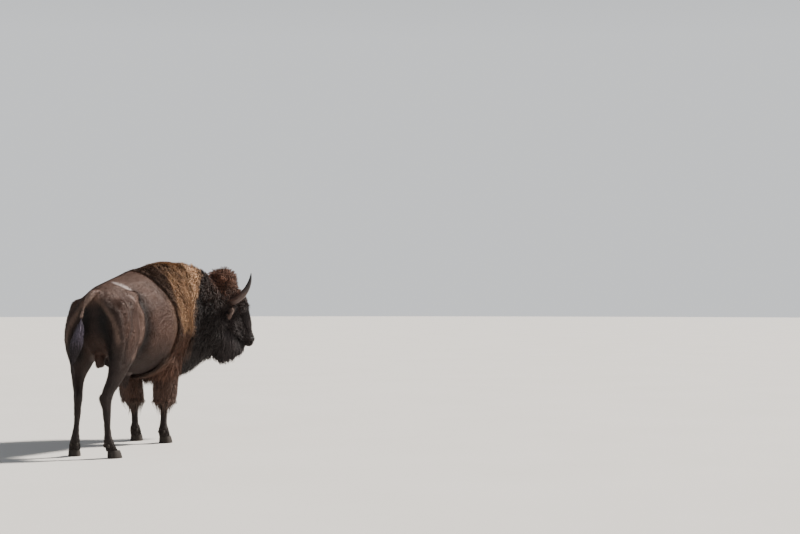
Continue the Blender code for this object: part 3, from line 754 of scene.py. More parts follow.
def markings(points):
    """The coat's colour at each place."""
    spot = placed(points)
    patch = drift(points, 0.11, 1)
    speck = drift(points, 0.035, 2)
    sleek = np.tile(tone(90, 67, 58), (len(points), 1))

    def laid(colour, share):
        nonlocal sleek
        sleek = sleek * (1 - share[:, None]) + colour * share[:, None]

    def stroke(rows, width, hand=1):
        return along(points, laid_on(hide, on_body(rows, hand)), width)

    laid(tone(98, 74, 64), ramp(spot.up, 1.3, 1.5) * (1 - spot.cape))
    laid(tone(44, 34, 32), fade(spot.up, 0.76, 1.04) * (1 - spot.cape) * 0.8)
    # Painted shade over the rear face of the rump, below the tail head.
    laid(tone(34, 26, 25), fade(spot.ahead, 0.02, 0.16) * fade(spot.up, 1.25, 1.4) * 0.75)
    for hand in (-1, 1):
        # Painted shade in the haunch's hollows and painted highlights on its rims.
        for colour, rows, width, share in STRIPES:
            laid(colour, stroke(rows, width, hand) * share)
        # Pale painted highlight along each buttock's rim.
        laid(tone(140, 116, 104), stroke(BUTTOCK, 0.022, hand) * 0.42 * ramp(spot.up, 0.9, 1.05))
    # Painted highlight on the right hip.
    laid(tone(238, 222, 216), stroke(WORN, 0.021) * 0.95)
    laid(tone(62, 43, 35), along(points, on_body([(0.12, 0.02, 0.92), (0.2, 0.03, 0.8)]), 0.1) * 0.7)
    laid(tone(112, 87, 72), np.maximum(spot.cape, ramp(spot.ahead, 1.0, 1.2)) * (1 - spot.head))
    gold_back = np.interp(spot.up, [1.07, 1.18, 1.37, 1.52, 1.65], [1.4, 1.29, 1.34, 1.44, 1.58])
    gold_front = np.interp(spot.up, [1.0, 1.33, 1.5, 1.65], [-0.43, -0.41, -0.32, -0.23])
    wave = 0.05 * drift(points, 0.09, 3) + 0.03 * speck
    gold = ramp(spot.ahead + wave - gold_back, -0.09, 0.09)
    gold = gold * fade(spot.forward + wave, gold_front - 0.05, gold_front + 0.06)
    gold = gold * ramp(spot.up + wave, 0.98, 1.16)
    laid(tone(208, 164, 126), gold)
    laid(tone(138, 98, 70), gold * ramp(patch + 0.5 * speck, 0, 0.8) * 0.5)
    under = ramp(spot.ahead, 1.08, 1.2) * fade(spot.up, 0.96, 1.12) * ramp(spot.up, 0.55, 0.7)
    laid(tone(104, 74, 60), under * fade(spot.forward, -0.5, -0.4))
    # Painted shadow behind the wool's edge.
    laid(tone(66, 49, 40), stroke(WOOL_EDGE, 0.035) * (0.32 + 0.2 * speck))
    laid(tone(60, 40, 30), along(points, on_body([(1.59, 0.22, 1.6), (1.62, 0.23, 1.57)]), 0.045) * 0.85)
    neck = ramp(spot.forward + wave, gold_front - 0.03, gold_front + 0.06) * ramp(spot.ahead, 1.3, 1.5)
    laid(tone(30, 22, 21), neck)
    laid(tone(30, 23, 23), spot.throat * ramp(spot.forward, -0.6, -0.45))
    laid(tone(84, 62, 53), spot.chaps * 0.9)
    laid(tone(46, 38, 38), spot.head)
    nape = ramp(spot.forward, -0.32, -0.2) * ramp(spot.rise, -0.04, 0.08) * (1 - spot.bonnet)
    laid(tone(52, 36, 30), nape)
    laid(tone(46, 32, 28), spot.bonnet)
    laid(tone(98, 64, 48), spot.bonnet * ramp(spot.rise + 0.3 * spot.forward, 0, 0.16))
    laid(tone(46, 39, 40), spot.jaw)
    laid(tone(38, 30, 28), spot.low)
    laid(tone(130, 110, 100), spot.tail * ramp(spot.up, 1.17, 1.21) * fade(spot.ahead, -0.02, 0.03))
    # The switch is painted lighter and bluish towards its top: a painted sheen of sky light on dark hair.
    laid(mix(tone(46, 40, 44), tone(106, 98, 112), ramp(spot.up, 1.0, 1.12)[:, None]), spot.switch)
    # The ears are painted pale: partly their own lighter hair, partly painted sunlight on them.
    laid(tone(112, 93, 85), spot.ear)
    laid(tone(22, 20, 22), spot.head * ramp(spot.down, 0.43, 0.47) * ramp(spot.off, 0.1, 0.14))
    return sleek * (1 + 0.16 * patch + 0.12 * speck + 0.1 * drift(points, 0.28, 4))[:, None]


def coloured(mesh, colours):
    """Lays a colour on every place of a mesh."""
    layer = mesh.color_attributes.new("coat", "FLOAT_COLOR", "POINT")
    rows = np.ones((len(colours), 4))
    rows[:, :3] = np.clip(colours, 0, 1)
    layer.data.foreach_set("color", rows.ravel())


UNDER_HAIR = 0.84
coloured(sculpt, markings(points) * UNDER_HAIR)


def laid_colour(tree):
    """The colour laid on a mesh, for its finish."""
    made = tree.nodes.new("ShaderNodeAttribute")
    made.attribute_name = "coat"
    return made.outputs["Color"]


def hair_finish(name, roughness, sheen, streak, bump, strands=True, depth=1.0):
    """A coat's finish: its laid colour, fine streaks along the hair and a little sheen."""
    finish, tree, shader, place = finish_called(name, roughness, 0.22)
    colour = laid_colour(tree)
    if strands:
        own_map = tree.nodes.new("ShaderNodeUVMap")
        own_map.uv_map = "OFBake"
        combed = pattern(tree, "Mapping", own_map.outputs["UV"], Scale=(2600, 260, 1))["Vector"]
        hairs = pattern(tree, "TexNoise", combed, Scale=1.0, Detail=2)["Fac"]
        parted = graded(tree, hairs, grey(1 - 0.55 * depth), grey(1 + 0.2 * depth), 0.36, 0.62)
        colour = multiplied(tree, colour, parted)
    drawn_out = pattern(tree, "Mapping", place, Scale=(1.0, 0.35, 0.45))["Vector"]
    grain = pattern(tree, "TexNoise", drawn_out, Scale=streak, Detail=5)["Fac"]
    shade = graded(tree, grain, grey(1 - 0.38 * depth), grey(1 + 0.25 * depth), 0.3, 0.7)
    tree.links.new(multiplied(tree, colour, shade), shader.inputs["Base Color"])
    raised(tree, shader, grain, bump, 0.004)
    shader.inputs["Sheen Weight"].default_value = sheen
    shader.inputs["Sheen Roughness"].default_value = 0.5
    return finish


sculpt.materials.append(hair_finish("hide", 0.6, 0.02, 260, 0.5, strands=False))
moist, tree, shader, place = finish_called("moist_nose", 0.45, 0.3)
beads = pattern(tree, "TexVoronoi", place, Scale=420)["Distance"]
dark = graded(tree, beads, (0.009, 0.008, 0.009), (0.004, 0.003, 0.004))
tree.links.new(dark, shader.inputs["Base Color"])
raised(tree, shader, beads, 0.5, 0.001).invert = True
sculpt.materials.append(moist)
skin_points, skin_normals = arrays_of(sculpt)
spot = placed(skin_points)
pad = (spot.head > 0.5) & (spot.down > 0.447) & (spot.down < 0.513) & (spot.off > 0.093)
for polygon in sculpt.polygons:
    polygon.material_index = int(all(pad[k] for k in polygon.vertices))
bpy.context.view_layer.objects.active = skin
skin.select_set(True)
sculpt.uv_layers.new(name="OFBake")
bpy.ops.object.mode_set(mode="EDIT")
bpy.ops.mesh.select_all(action="SELECT")
bpy.ops.uv.smart_project(angle_limit=math.radians(66), island_margin=0.002)
bpy.ops.object.mode_set(mode="OBJECT")
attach(skin, "root")
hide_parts(*FLESH)

# ---- how the coat grows
# Every lock is a thin closed sliver rooted in the skin. It stands off by the depth of the coat there,
# lies over along the body, hangs where it is long, and stays inside the bull's outline.
sculpt.calc_loop_triangles()


def corners_of(kind):
    """The places or the map corners of the skin's triangles."""
    rows = np.empty(len(sculpt.loop_triangles) * 3, np.int32)
    sculpt.loop_triangles.foreach_get(kind, rows)
    return rows.reshape(-1, 3)


triangles, corners = corners_of("vertices"), corners_of("loops")
flat_map = np.empty(len(sculpt.loops) * 2)
sculpt.uv_layers["OFBake"].data.foreach_get("uv", flat_map)
flat_map = flat_map.reshape(-1, 2)
edge_1 = skin_points[triangles[:, 1]] - skin_points[triangles[:, 0]]
edge_2 = skin_points[triangles[:, 2]] - skin_points[triangles[:, 0]]
areas = np.linalg.norm(np.cross(edge_1, edge_2), axis=1) / 2
room = np.array([outline.find_nearest(Vector(point))[3] for point in skin_points])
thin = 1.0


def unit(rows):
    return rows / np.maximum(np.linalg.norm(rows, axis=1), 1e-9)[:, None]


def hair_lie(points):
    """The way the hair lies, before it is pressed to the skin."""
    spot = placed(points)
    turns = [
        (at(-0.45, 0, -0.9), fade(spot.up, 0.85, 1.15)),
        (at(-0.2, 0, -1.0), fade(spot.ahead, 0, 0.22)),
        (at(-0.1, 0, -1.0), fade(spot.up, 0.55, 0.75)),
        (at(-0.75, 0, -0.7), spot.cape),
        (FORWARD * -0.5 - UP * 0.85, spot.neck),
        (FORWARD * -0.1 - UP, np.maximum(spot.throat, spot.chaps)),
        (DOWN_FACE * -0.85 - OFF_FACE * 0.45, spot.head),
        (DOWN_FACE * 0.2 - UP * 0.9, spot.head * ramp(-spot.off, 0.03, 0.1)),
        (FORWARD * 0.45 + UP * -0.2, spot.bonnet),
        (FORWARD * -0.05 - UP, spot.jaw),
        (DOCK[3] - DOCK[0], spot.tail),
        (at(0, 0.1, -1), spot.switch),
    ]
    for root, tip in (EAR[-1], EAR[1]):
        turns.append(((tip - root).normalized(), ramp(along(points, [root, tip], 0.05), 0.4, 0.7)))
    way = np.tile(np.array(at(-0.85, 0, -0.35)), (len(points), 1))
    for direction, share in turns:
        way = mix(way, np.array(direction), share[:, None])
    return way


def rooted(density, seed):
    """Evenly strewn roots where the density, in locks per square metre, calls for them."""
    rng = np.random.default_rng(seed)
    wanted = np.cumsum(areas * (density * thin)[triangles].mean(axis=1))
    count = int(wanted[-1])
    face = np.searchsorted(wanted, np.arange(count) + rng.random(count))
    face = np.minimum(face, len(areas) - 1)
    a, b = rng.random(count), rng.random(count)
    over = a + b > 1
    a, b = np.where(over, 1 - a, a), np.where(over, 1 - b, b)
    share = np.stack([1 - a - b, a, b], axis=1)[:, :, None]
    corner = triangles[face]
    return SimpleNamespace(
        count=count,
        rng=rng,
        root=(skin_points[corner] * share).sum(axis=1),
        normal=unit((skin_normals[corner] * share).sum(axis=1)),
        room=(room[corner] * share[:, :, 0]).sum(axis=1),
        map=(flat_map[corners[face]] * share).sum(axis=1),
    )


def swirled(rows, size, seed):
    """A smoothly changing direction that turns hair into separate curls."""
    return np.stack([drift(rows, size, seed + k) for k in range(3)], axis=1)


def flattened(rows, normal):
    """Directions with the part that points off the skin taken out."""
    return rows - normal * (rows * normal).sum(axis=1)[:, None]


ARCS = {1: [1.0], 2: [1.0, 0.25], 3: [1.0, 0.45, -0.1], 4: [1.0, 0.6, 0.2, -0.2]}
ROOTED_IN = 0.003


def lock_paths(roots, way, step, segments, rise, curl, sag):
    """The places along every lock, which rises off the skin, lies over and hangs."""
    lifts = ARCS[segments]
    slopes = np.linspace(0.05, 4.0, 60)
    heights = sum(
        np.sign(part) * np.abs(slopes * part) / np.sqrt(1 + (slopes * part) ** 2) for part in lifts
    )
    lift = np.interp((rise + ROOTED_IN) / step, heights, slopes)
    phase = roots.rng.random(roots.count) * 6.28
    places = [roots.root - roots.normal * ROOTED_IN]
    sideways = np.cross(way, roots.normal)
    for k in range(segments):
        heading = way + roots.normal * (lift * lifts[k])[:, None]
        heading = heading + sideways * (curl * 1.5 * np.sin(phase + 2.4 * k))[:, None]
        heading = unit(heading) + np.array([0, 0, -1.0]) * sag * ((k + 1) / segments)
        places.append(places[-1] + unit(heading) * step[:, None])
    return places


def clumped(places, roots, clump, clump_of):
    """Locks whose ends draw together with their neighbours' into larger tufts."""
    root, count = roots.root, roots.count
    heart = roots.rng.choice(count, max(1, count // clump_of), replace=False)
    hearts = KDTree(len(heart))
    for k, chosen in enumerate(heart):
        hearts.insert(root[chosen], k)
    hearts.balance()
    gather = np.array([hearts.find(point)[0] for point in root]) - root
    gather = flattened(gather, roots.normal)
    last = len(places) - 1
    return [place + gather * clump * (k / last) ** 1.3 if k else place for k, place in enumerate(places)]


def held_in(places, limit):
    """Locks that pass the bull's outline by no more than their limit."""
    for points in places[1:]:
        for i, point in enumerate(points):
            near, facing, _, gap = outline.find_nearest(Vector(point))
            if gap > limit[i] and (Vector(point) - near).dot(facing) > 0:
                points[i] = near + facing * limit[i]
    return np.stack(places, axis=1)


PATCH = 0.0015


def slivers(name, roots, path, width, thickness, colours):
    """One mesh of three-sided slivers along the locks' paths, each on its own patch of the skin's map."""
    count, segments = roots.count, path.shape[1] - 1
    per = 3 * segments + 1
    verts = np.empty((count, per, 3))
    shades = np.empty((count, per, 3))
    flat = np.empty((count, per, 2))
    for k in range(segments):
        forward = unit(path[:, k + 1] - path[:, max(k - 1, 0)])
        side = unit(np.cross(forward, roots.normal))
        over = np.cross(side, forward)
        wide = width / 2 * (1.0 if k == 0 else 1.0 - 0.55 * k / segments)
        thick = wide * thickness
        for j, (s, o) in enumerate(((-1, 0), (0, 1), (1, 0))):
            verts[:, 3 * k + j] = path[:, k] + side * (s * wide)[:, None] + over * (o * thick)[:, None]
            flat[:, 3 * k + j] = roots.map + np.array([s * PATCH, (2 * k / segments - 1) * PATCH])
        shades[:, 3 * k : 3 * k + 3] = colours[k][:, None, :]
    verts[:, -1] = path[:, segments]
    shades[:, -1] = colours[segments]
    flat[:, -1] = roots.map + np.array([0, PATCH])
    faces = [(0, 2, 1)]
    for k in range(segments - 1):
        for a, b in ((0, 1), (1, 2), (2, 0)):
            faces += [(3 * k + a, 3 * k + b, 3 * k + 3 + b), (3 * k + a, 3 * k + 3 + b, 3 * k + 3 + a)]
    top = 3 * (segments - 1)
    faces += [(top, top + 1, per - 1), (top + 1, top + 2, per - 1), (top + 2, top, per - 1)]
    faces = (np.array(faces)[None] + (np.arange(count) * per)[:, None, None]).reshape(-1, 3)
    mesh = bpy.data.meshes.new(name)
    mesh.vertices.add(count * per)
    verts = np.clip(verts, np.array(solid_low) + 0.001, np.array(solid_high) - 0.001)
    mesh.vertices.foreach_set("co", verts.ravel())
    mesh.loops.add(len(faces) * 3)
    mesh.loops.foreach_set("vertex_index", faces.ravel().astype(np.int32))
    mesh.polygons.add(len(faces))
    mesh.polygons.foreach_set("loop_start", np.arange(len(faces), dtype=np.int32) * 3)
    mesh.update(calc_edges=True)
    coloured(mesh, shades.reshape(-1, 3))
    layer = mesh.uv_layers.new(name="OFBake")
    layer.data.foreach_set("uv", np.clip(flat.reshape(-1, 2)[faces.ravel()], 0, 1).ravel())
    return mesh


def coat(
    name, slot, finish, roots, length, width, segments, stand=0.9, sag=0, curl=0.1, proud=0.003, even=0,
    root_shade=0.6, tip_shade=1.15, vary=0.45, lie=None, thickness=0.3, clump=0, clump_of=9, relief=0,
    deepest=1.0,
):
    """Locks grown from their roots into one piece of the coat.

    They stand off by a share of the room under the outline, sag at the end, curl away from the lie of the
    hair and pass the outline by up to proud metres, each by at least the even share of that. Their shades
    differ by vary, their ends draw together in clumps, and the coat's depth swells and sinks by relief."""
    rng, count, root = roots.rng, roots.count, roots.root
    lids = near_eyes(root, 0.048)
    space = np.where(lids, 0.004, np.clip(roots.room, 0.006, deepest))
    length = length * (0.75 + 0.5 * rng.random(count))
    width = width * (0.75 + 0.5 * rng.random(count))
    way = unit(hair_lie(root) if lie is None else lie)
    way = way + swirled(root, 0.05, 11) * curl * 2.2 + rng.normal(size=(count, 3)) * curl
    way = unit(flattened(way, roots.normal))
    rise = space * stand * (1 + relief * drift(root, 0.055, 14))
    places = lock_paths(roots, way, length / segments, segments, rise, curl, sag)
    if clump:
        places = clumped(places, roots, clump, clump_of)
    limit = np.where(lids, 0.03, proud * (even + (1 - even) * rng.random(count) ** 2))
    path = held_in(places, limit)
    colour = np.clip(markings(root), 0, 1) * (1 - vary / 2 + vary * rng.random(count))[:, None]
    # Each lock runs from a darker root to a lighter tip: the tips are the hair's own sun-bleached ends, and
    # the darker root is painted shade deep in the coat.
    colours = [colour * mix(root_shade, tip_shade, k / segments) for k in range(segments + 1)]
    mesh = slivers(name, roots, path, width, thickness, colours)
    mesh.materials.append(finish)
    made = rounded(name, mesh)
    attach(made, "root")


SLEEK = hair_finish("sleek_hair", 0.55, 0.02, 300, 0.2, depth=0.5)
WOOL = hair_finish("wool", 0.75, 0.05, 180, 0.2)
LONG = hair_finish("long_hair", 0.58, 0.03, 220, 0.2)

# ---- short coat of trunk and legs
# Sleek summer hair of about 29 mm on barrel, haunch and thighs, and 17 mm down the legs, with a skirt
# over each hoof and a tuft at the sheath. Each piece is a mat of slivers rooted in the skin.
furred = (1 - spot.head) * (1 - spot.switch)
woolly = ramp(spot.cape, 0.2, 0.6)
hung = ramp(spot.chaps, 0.1, 0.5)
short = furred * (1 - woolly) * (1 - hung) * (1 - spot.tail)
trunk = short * ramp(spot.up, 0.62, 0.7)
to_the_loin, to_the_flank = ramp(spot.ahead, 0.72, 0.74), ramp(spot.ahead, 0.38, 0.4)
between = to_the_flank * (1 - to_the_loin)
stretches = (("loin", to_the_loin), ("flank", between), ("haunch", 1 - to_the_flank))
for seed, (word, share) in enumerate(stretches):
    roots = rooted(trunk * share * 26000, 21 + seed)
    under_the_wool = ramp(placed(roots.root).cape, 0, 0.5)
    coat(
        f"short_coat_{word}", "short_coat", SLEEK, roots, 0.029, 0.0052, 1, stand=0.52, curl=0.035,
        root_shade=0.92, tip_shade=1.04, vary=0.2, thickness=0.14, clump=0.16, clump_of=12,
        deepest=0.01 + 0.04 * under_the_wool,
    )
coat(
    "leg_coat", "short_coat", SLEEK, rooted(short * fade(spot.up, 0.62, 0.7) * 38000, 25), 0.017, 0.004, 1,
    stand=0.75, curl=0.06, root_shade=0.86, tip_shade=1.05, vary=0.3, thickness=0.16,
)
coronet = ramp(spot.up, 0.055, 0.07) * fade(spot.up, 0.105, 0.13)
coat(
    "coronet_hair", "short_coat", SLEEK, rooted(coronet * 60000, 27), 0.034, 0.0042, 2, stand=1.3, sag=0.3,
    curl=0.08, proud=0.006, root_shade=0.8, tip_shade=1.1, vary=0.4,
)
sheath = along(skin_points, on_body([(0.77, 0, 0.64), (0.82, 0, 0.6)]), 0.07)
coat(
    "sheath_tuft", "short_coat", LONG, rooted(ramp(sheath, 0.4, 0.8) * 14000, 26), 0.07, 0.006, 3, stand=1.0,
    sag=0.8, curl=0.12, proud=0.03, clump=0.5,
)

# ---- cape of wool
# Dense crimped wool over hump, shoulder and foreribs, bleached golden by the sun. It is about 80 mm
# long and shorter towards its border, gathers in tufts, and ends in a longer fringe at the elbows.
off_throat = fade(spot.throat, 0.3, 0.7)
cape = ramp(spot.cape, 0.1, 0.5) * furred * fade(spot.neck, 0.3, 0.7) * off_throat * (1 - hung)
on_the_hump = ramp(spot.up, 1.22, 1.24)
for seed, (word, share) in enumerate((("hump", on_the_hump), ("shoulder", 1 - on_the_hump))):
    roots = rooted(cape * share * 15500, 31 + seed)
    grown = ramp(placed(roots.root).cape, 0.15, 0.95)
    coat(
        f"cape_wool_{word}", "cape_wool", WOOL, roots, 0.026 + 0.054 * grown, 0.0048 + 0.0032 * grown, 2,
        stand=0.95, curl=0.12, proud=0.002 + 0.014 * grown, root_shade=0.62, tip_shade=1.12, vary=0.35,
        clump=0.55, relief=0.3,
    )
fringe = furred * ramp(spot.ahead, 1.02, 1.1) * ramp(spot.up, 0.64, 0.7)
fringe = fringe * fade(spot.up, 0.8, 0.9) * off_throat
coat(
    "elbow_fringe", "cape_wool", LONG, rooted(fringe * 5000, 35), 0.16, 0.009, 4, stand=1.0, sag=0.8,
    proud=0.03, root_shade=0.5, tip_shade=1.2, vary=0.5, clump=0.6, even=0.2,
)

# ---- neck, throat and chaps
# Long dark hair that lies back over the neck and hangs in a fringe from throat and forelegs.
# Its locks are about 110 mm long on the neck and 175 mm under the throat.


def dark_coat(name, roots, length, width, segments, **growth):
    """A piece of the dark coat of neck, face, beard and switch."""
    coat(name, "face_and_neck_hair", LONG, roots, length, width, segments, **growth)


HANGING = {"root_shade": 0.5, "tip_shade": 1.25, "vary": 0.5}
dark_coat(
    "neck_mane", rooted(furred * ramp(spot.neck, 0.2, 0.6) * off_throat * 13000, 41), 0.11, 0.0095, 3,
    stand=0.95, proud=0.02, root_shade=0.55, tip_shade=1.1, vary=0.35, clump=0.45, relief=0.25,
)
dark_coat(
    "throat_mane", rooted(furred * ramp(spot.throat, 0.2, 0.6) * 11500, 42), 0.175, 0.009, 4, stand=0.8,
    sag=0.7, curl=0.09, proud=0.055, clump=0.6, relief=0.2, **HANGING,
)
roots = rooted(furred * hung * off_throat * 12500, 43)
hang = 0.085 + 0.075 * roots.rng.random(roots.count)
dark_coat(
    "chaps", roots, hang, 0.0085, 3, stand=0.85, sag=0.6, proud=0.035, clump=0.55, relief=0.2, **HANGING,
)

# ---- bonnet and beard
# A tall curly mop between the horns that falls over the brow, and a beard hanging from chin and jaw.
# The mop's locks turn each their own way into curls, and the beard's hang under their own weight.
eyes_clear = 1 - near_eyes(skin_points, 0.0275)


def bonnet_coat(name, roots, length, width, segments, lie, **growth):
    """A piece of the mop of curls between the horns."""
    coat(name, "bonnet_hair", WOOL, roots, length, width, segments, lie=lie, curl=0.14, vary=0.5, **growth)


def strayed(roots):
    return roots.rng.normal(size=(roots.count, 3)) * 0.15


bonnet = ramp(spot.bonnet, 0.2, 0.6) * (1 - spot.ear) * (1 - 0.8 * spot.near_ear) * eyes_clear
roots = rooted(bonnet * 30000, 51)
stand_up = unit(hair_lie(roots.root)) * 0.5 + swirled(roots.root, 0.045, 15) * 1.6 + strayed(roots)
bonnet_coat(
    "bonnet_curls", roots, 0.085, 0.0064, 3, stand_up, stand=1.05, proud=0.025, root_shade=0.35,
    tip_shade=1.25, clump=0.5, relief=0.25,
)
mop = ramp(spot.forward, -0.38, -0.3) * ramp(spot.rise, 0, 0.06)
mop = mop * fade(spot.forward, 0.2, 0.25) * (1 - spot.near_ear)
roots = rooted(mop * 6500, 53)
tumbled = unit(roots.root - np.array(POLL + UP * 0.02)) * 0.8 + unit(hair_lie(roots.root)) * 0.3
tumbled = tumbled - np.array(UP) * 0.3 + swirled(roots.root, 0.05, 18)
bonnet_coat(
    "forelock", roots, 0.125, 0.0085, 4, tumbled, stand=1.8, sag=0.3, proud=0.045, root_shade=0.45,
    tip_shade=1.35, clump=0.45, even=0.35,
)
brow = bonnet * ramp(spot.forward, 0.02, 0.08) * fade(spot.rise, 0.03, 0.08)
roots = rooted(brow * fade(spot.down, 0.14, 0.17) * 12000, 54)
fallen = np.array(DOWN_FACE) + swirled(roots.root, 0.03, 21) * 0.5 + strayed(roots)
hang = 0.05 + 0.07 * roots.rng.random(roots.count)
bonnet_coat(
    "brow_fringe", roots, hang, 0.006, 4, fallen, stand=1.0, sag=0.5, proud=0.02, tip_shade=1.1, clump=0.4,
)
beard = ramp(spot.jaw, 0.3, 0.7) * eyes_clear * fade(spot.down, 0.485, 0.505)
roots = rooted(beard * 17000, 52)
hang = 0.165 - 0.075 * ramp(placed(roots.root).down, 0.43, 0.49)
dark_coat("beard_locks", roots, hang, 0.0085, 4, stand=0.8, sag=0.8, proud=0.05, clump=0.6, **HANGING)

# ---- face and ears
# Short dark hair that streams back from the muzzle, woolly on the cheeks, and a bare moist nose.
# It is shortest round the eyes, and the ears' own hair stands out past their rims.
bare = spot.head * ramp(spot.down, 0.438, 0.452) * fade(spot.down, 0.512, 0.522)
bare = bare * ramp(spot.off, 0.085, 0.1)
face = spot.head * fade(spot.bonnet, 0.3, 0.6) * fade(spot.jaw, 0.4, 0.8)
face = face * eyes_clear * (1 - bare) * (1 - spot.ear)
cheek = face * ramp(-spot.off, -0.08, 0.02)
chin = ramp(spot.jaw, 0.4, 0.8) * ramp(spot.down, 0.48, 0.498) * spot.head
roots = rooted(face * 62000 * (1 - 0.6 * ramp(-spot.off, -0.02, 0.06)), 61)
size = 0.015 + 0.014 * ramp(0.4 - placed(roots.root).down, 0, 0.25)
size = size * np.where(near_eyes(roots.root, 0.042), 0.45, 1.0)
dark_coat(
    "face_hair", roots, size, 0.0042, 1, stand=1.0, proud=0.004, root_shade=0.75, tip_shade=1.3, vary=0.6,
    clump=0.25, clump_of=8,
)
dark_coat(
    "cheek_wool", rooted((cheek + chin) * 30000, 62), 0.044, 0.0052, 3, stand=1.1, curl=0.16, proud=0.012,
    root_shade=0.5, tip_shade=1.35, vary=0.6, clump=0.6,
)
dark_coat(
    "ear_hair", rooted(spot.ear * eyes_clear * 34000, 63), 0.046, 0.0045, 2, stand=1.1, curl=0.12,
    proud=0.022, tip_shade=1.6, vary=0.6,
)

# ---- tail
# A thin-haired wrinkled dock and a switch of long coarse hair at its end, in locks of about 140 mm
# that draw together in tufts.
coat(
    "dock_hair", "short_coat", SLEEK, rooted(ramp(spot.tail, 0.3, 0.7) * (1 - spot.switch) * 30000, 71),
    0.02, 0.0034, 1, curl=0.08, proud=0.004, vary=0.6,
)
dark_coat(
    "switch_locks", rooted(ramp(spot.switch, 0.3, 0.7) * 34000, 72), 0.14, 0.006, 4, sag=0.6, curl=0.06,
    proud=0.01, root_shade=0.5, tip_shade=1.5, vary=0.9, clump=0.5,
)

# ---- eyes
# Each eye is a dark wet ball with a raised clear front and a level pupil, set deep behind its lids.
# It starts as a sphere a little smaller than its solid, and bulges over the iris.
IRIS = 0.014
PUPIL_LONG, PUPIL_HIGH = 0.007, 0.0034


def eye_colour(u, v, w):
    """Pupil, iris, its dark rim and the white, by the place on the ball."""
    from_front = math.sqrt(u * u + v * v)
    if w > 0 and (u / PUPIL_LONG) ** 2 + (v / PUPIL_HIGH) ** 2 < 1:
        return (0.002, 0.002, 0.003)
    if w > 0 and from_front < 0.0125:
        return (0.024, 0.01, 0.005)
    if w > 0 and from_front < IRIS:
        return (0.006, 0.004, 0.004)
    return (0.05, 0.032, 0.025)


for hand, word in ((1, "right"), (-1, "left")):
    ball = bmesh.new()
    bmesh.ops.create_uvsphere(ball, u_segments=48, v_segments=32, radius=EYE_RADIUS * 0.985)
    colours = [eye_colour(*vert.co) for vert in ball.verts]
    for vert in ball.verts:
        u, v, w = vert.co
        bulge = 0.0016 * max(0, 1 - (math.sqrt(u * u + v * v) / IRIS) ** 2) if w > 0 else 0
        vert.co = EYE_AT[hand] + SLIT[hand] * u + BROW[hand] * v + GAZE[hand] * (w + bulge)
    ball.normal_update()
    bmesh.ops.recalc_face_normals(ball, faces=ball.faces)
    mesh = bpy.data.meshes.new("eyeball")
    ball.to_mesh(mesh)
    coloured(mesh, np.array(colours))
    wet, tree, shader, place = finish_called(f"wet_eye_{word}", 0.08, 0.2)
    fibres = pattern(tree, "TexNoise", place, Scale=900)["Color"]
    tree.links.new(multiplied(tree, laid_colour(tree), fibres, 0.4), shader.inputs["Base Color"])
    shader.inputs["Coat Weight"].default_value = 0.5
    shader.inputs["Coat Roughness"].default_value = 0.02
    mesh.materials.append(wet)
    made = rounded(f"eyeball_{word}", mesh)
    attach(made, "root")
    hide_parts(f"eye_{word}")

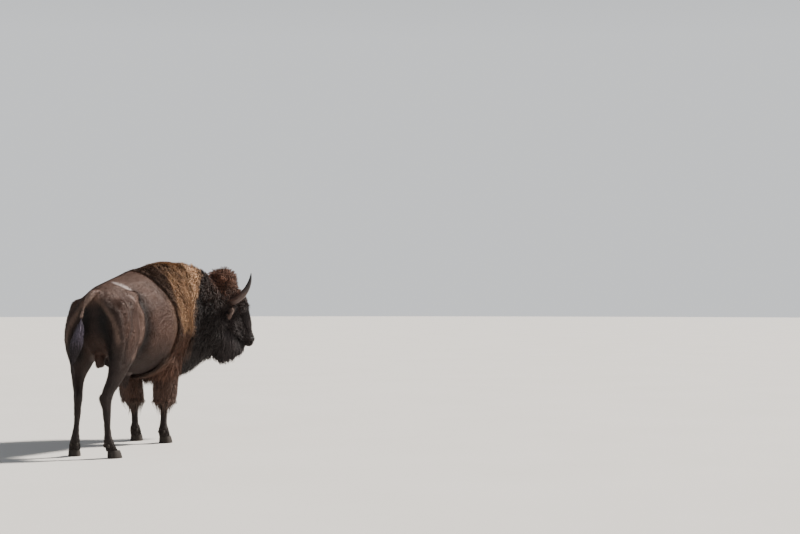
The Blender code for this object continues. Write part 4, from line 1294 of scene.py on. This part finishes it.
# ---- horns
# Short thick horn sheaths, rough and ringed at the base, rust-brown along the middle, black at the point.
# Each is its solid's form made smooth, with rings and grit that fade out towards the point.
HORN_LENGTH = 0.32
keratin, tree, shader, place = finish_called("horn_sheath", 0.42)
grain = pattern(tree, "TexNoise", place, Scale=90, Detail=6)["Fac"]
shade = graded(tree, grain, grey(0.55), grey(1.3), 0.3, 0.7)
tree.links.new(multiplied(tree, laid_colour(tree), shade), shader.inputs["Base Color"])
raised(tree, shader, grain, 0.35, 0.002)
for word in ("right", "left"):
    mesh = worked(joined(f"horn_{word}"), [("SUBSURF", {"levels": 3, "render_levels": 3})])
    points, normals = arrays_of(mesh)
    near_horn = placed(points)
    share = np.clip((np.hypot(near_horn.rise + 0.012, np.abs(near_horn.out) - 0.11)) / HORN_LENGTH, 0, 1)
    rings = 0.0009 * (np.sin(share * 120 + 2 * drift(points, 0.03, 5)) * fade(share, 0.25, 0.6))
    grit = 0.0006 * drift(points, 0.008, 6) * fade(share, 0.3, 0.8)
    moved(mesh, points + normals * (rings + grit)[:, None])
    colours = np.tile(tone(58, 44, 40), (len(points), 1))
    for colour, low, high in (
        (tone(68, 48, 41), 0.2, 0.42),
        (tone(40, 32, 30), 0.55, 0.75),
        (tone(20, 17, 18), 0.78, 0.95),
    ):
        colours = mix(colours, colour, ramp(share, low, high)[:, None])
    coloured(mesh, colours)
    mesh.materials.clear()
    mesh.materials.append(keratin)
    made = rounded(f"horn_sheath_{word}", mesh)
    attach(made, "root")
    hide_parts(f"horn_{word}")

# ---- hooves and dewclaws
# Two dark toes under each leg with growth rings round the wall, and two small claws behind the fetlock.
# A leg's claws are one mesh of horn, eased at the edges and level where they stand on the floor.
SOLE = 0.0022
wall, tree, shader, place = finish_called("hoof_wall", 0.62, 0.2)
band = tree.nodes.new("ShaderNodeTexWave")
band.bands_direction = "Z"
band.inputs["Scale"].default_value = 60
band.inputs["Distortion"].default_value = 3.0
tree.links.new(place, band.inputs["Vector"])
shade = graded(tree, band.outputs["Fac"], (0.012, 0.01, 0.009), (0.034, 0.027, 0.022))
tree.links.new(shade, shader.inputs["Base Color"])
raised(tree, shader, band.outputs["Fac"], 0.3, 0.001)
for leg in ("front_right", "front_left", "hind_right", "hind_left"):
    claws = [f"hoof_{leg}", f"dewclaw_{leg}_inner", f"dewclaw_{leg}_outer"]
    steps = [
        ("REMESH", {"mode": "VOXEL", "voxel_size": 0.0028}), ("SMOOTH", {"factor": 0.5, "iterations": 4}),
    ]
    mesh = worked(joined(*claws), steps)
    points, normals = arrays_of(mesh)
    rings = 0.0003 * np.sin(points[:, 2] * 620 + 2 * drift(points, 0.02, 7)) * ramp(points[:, 2], 0, 0.02)
    points = points + normals * rings[:, None]
    points[points[:, 2] < SOLE, 2] = 0
    moved(mesh, points)
    mesh.materials.clear()
    mesh.materials.append(wall)
    made = rounded(f"claws_{leg}", mesh)
    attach(made, "root")
    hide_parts(*claws)

# ---- its size and the solids' size
# The boxes round the bare solids and round the dressed bull.
dressed_low, dressed_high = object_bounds()
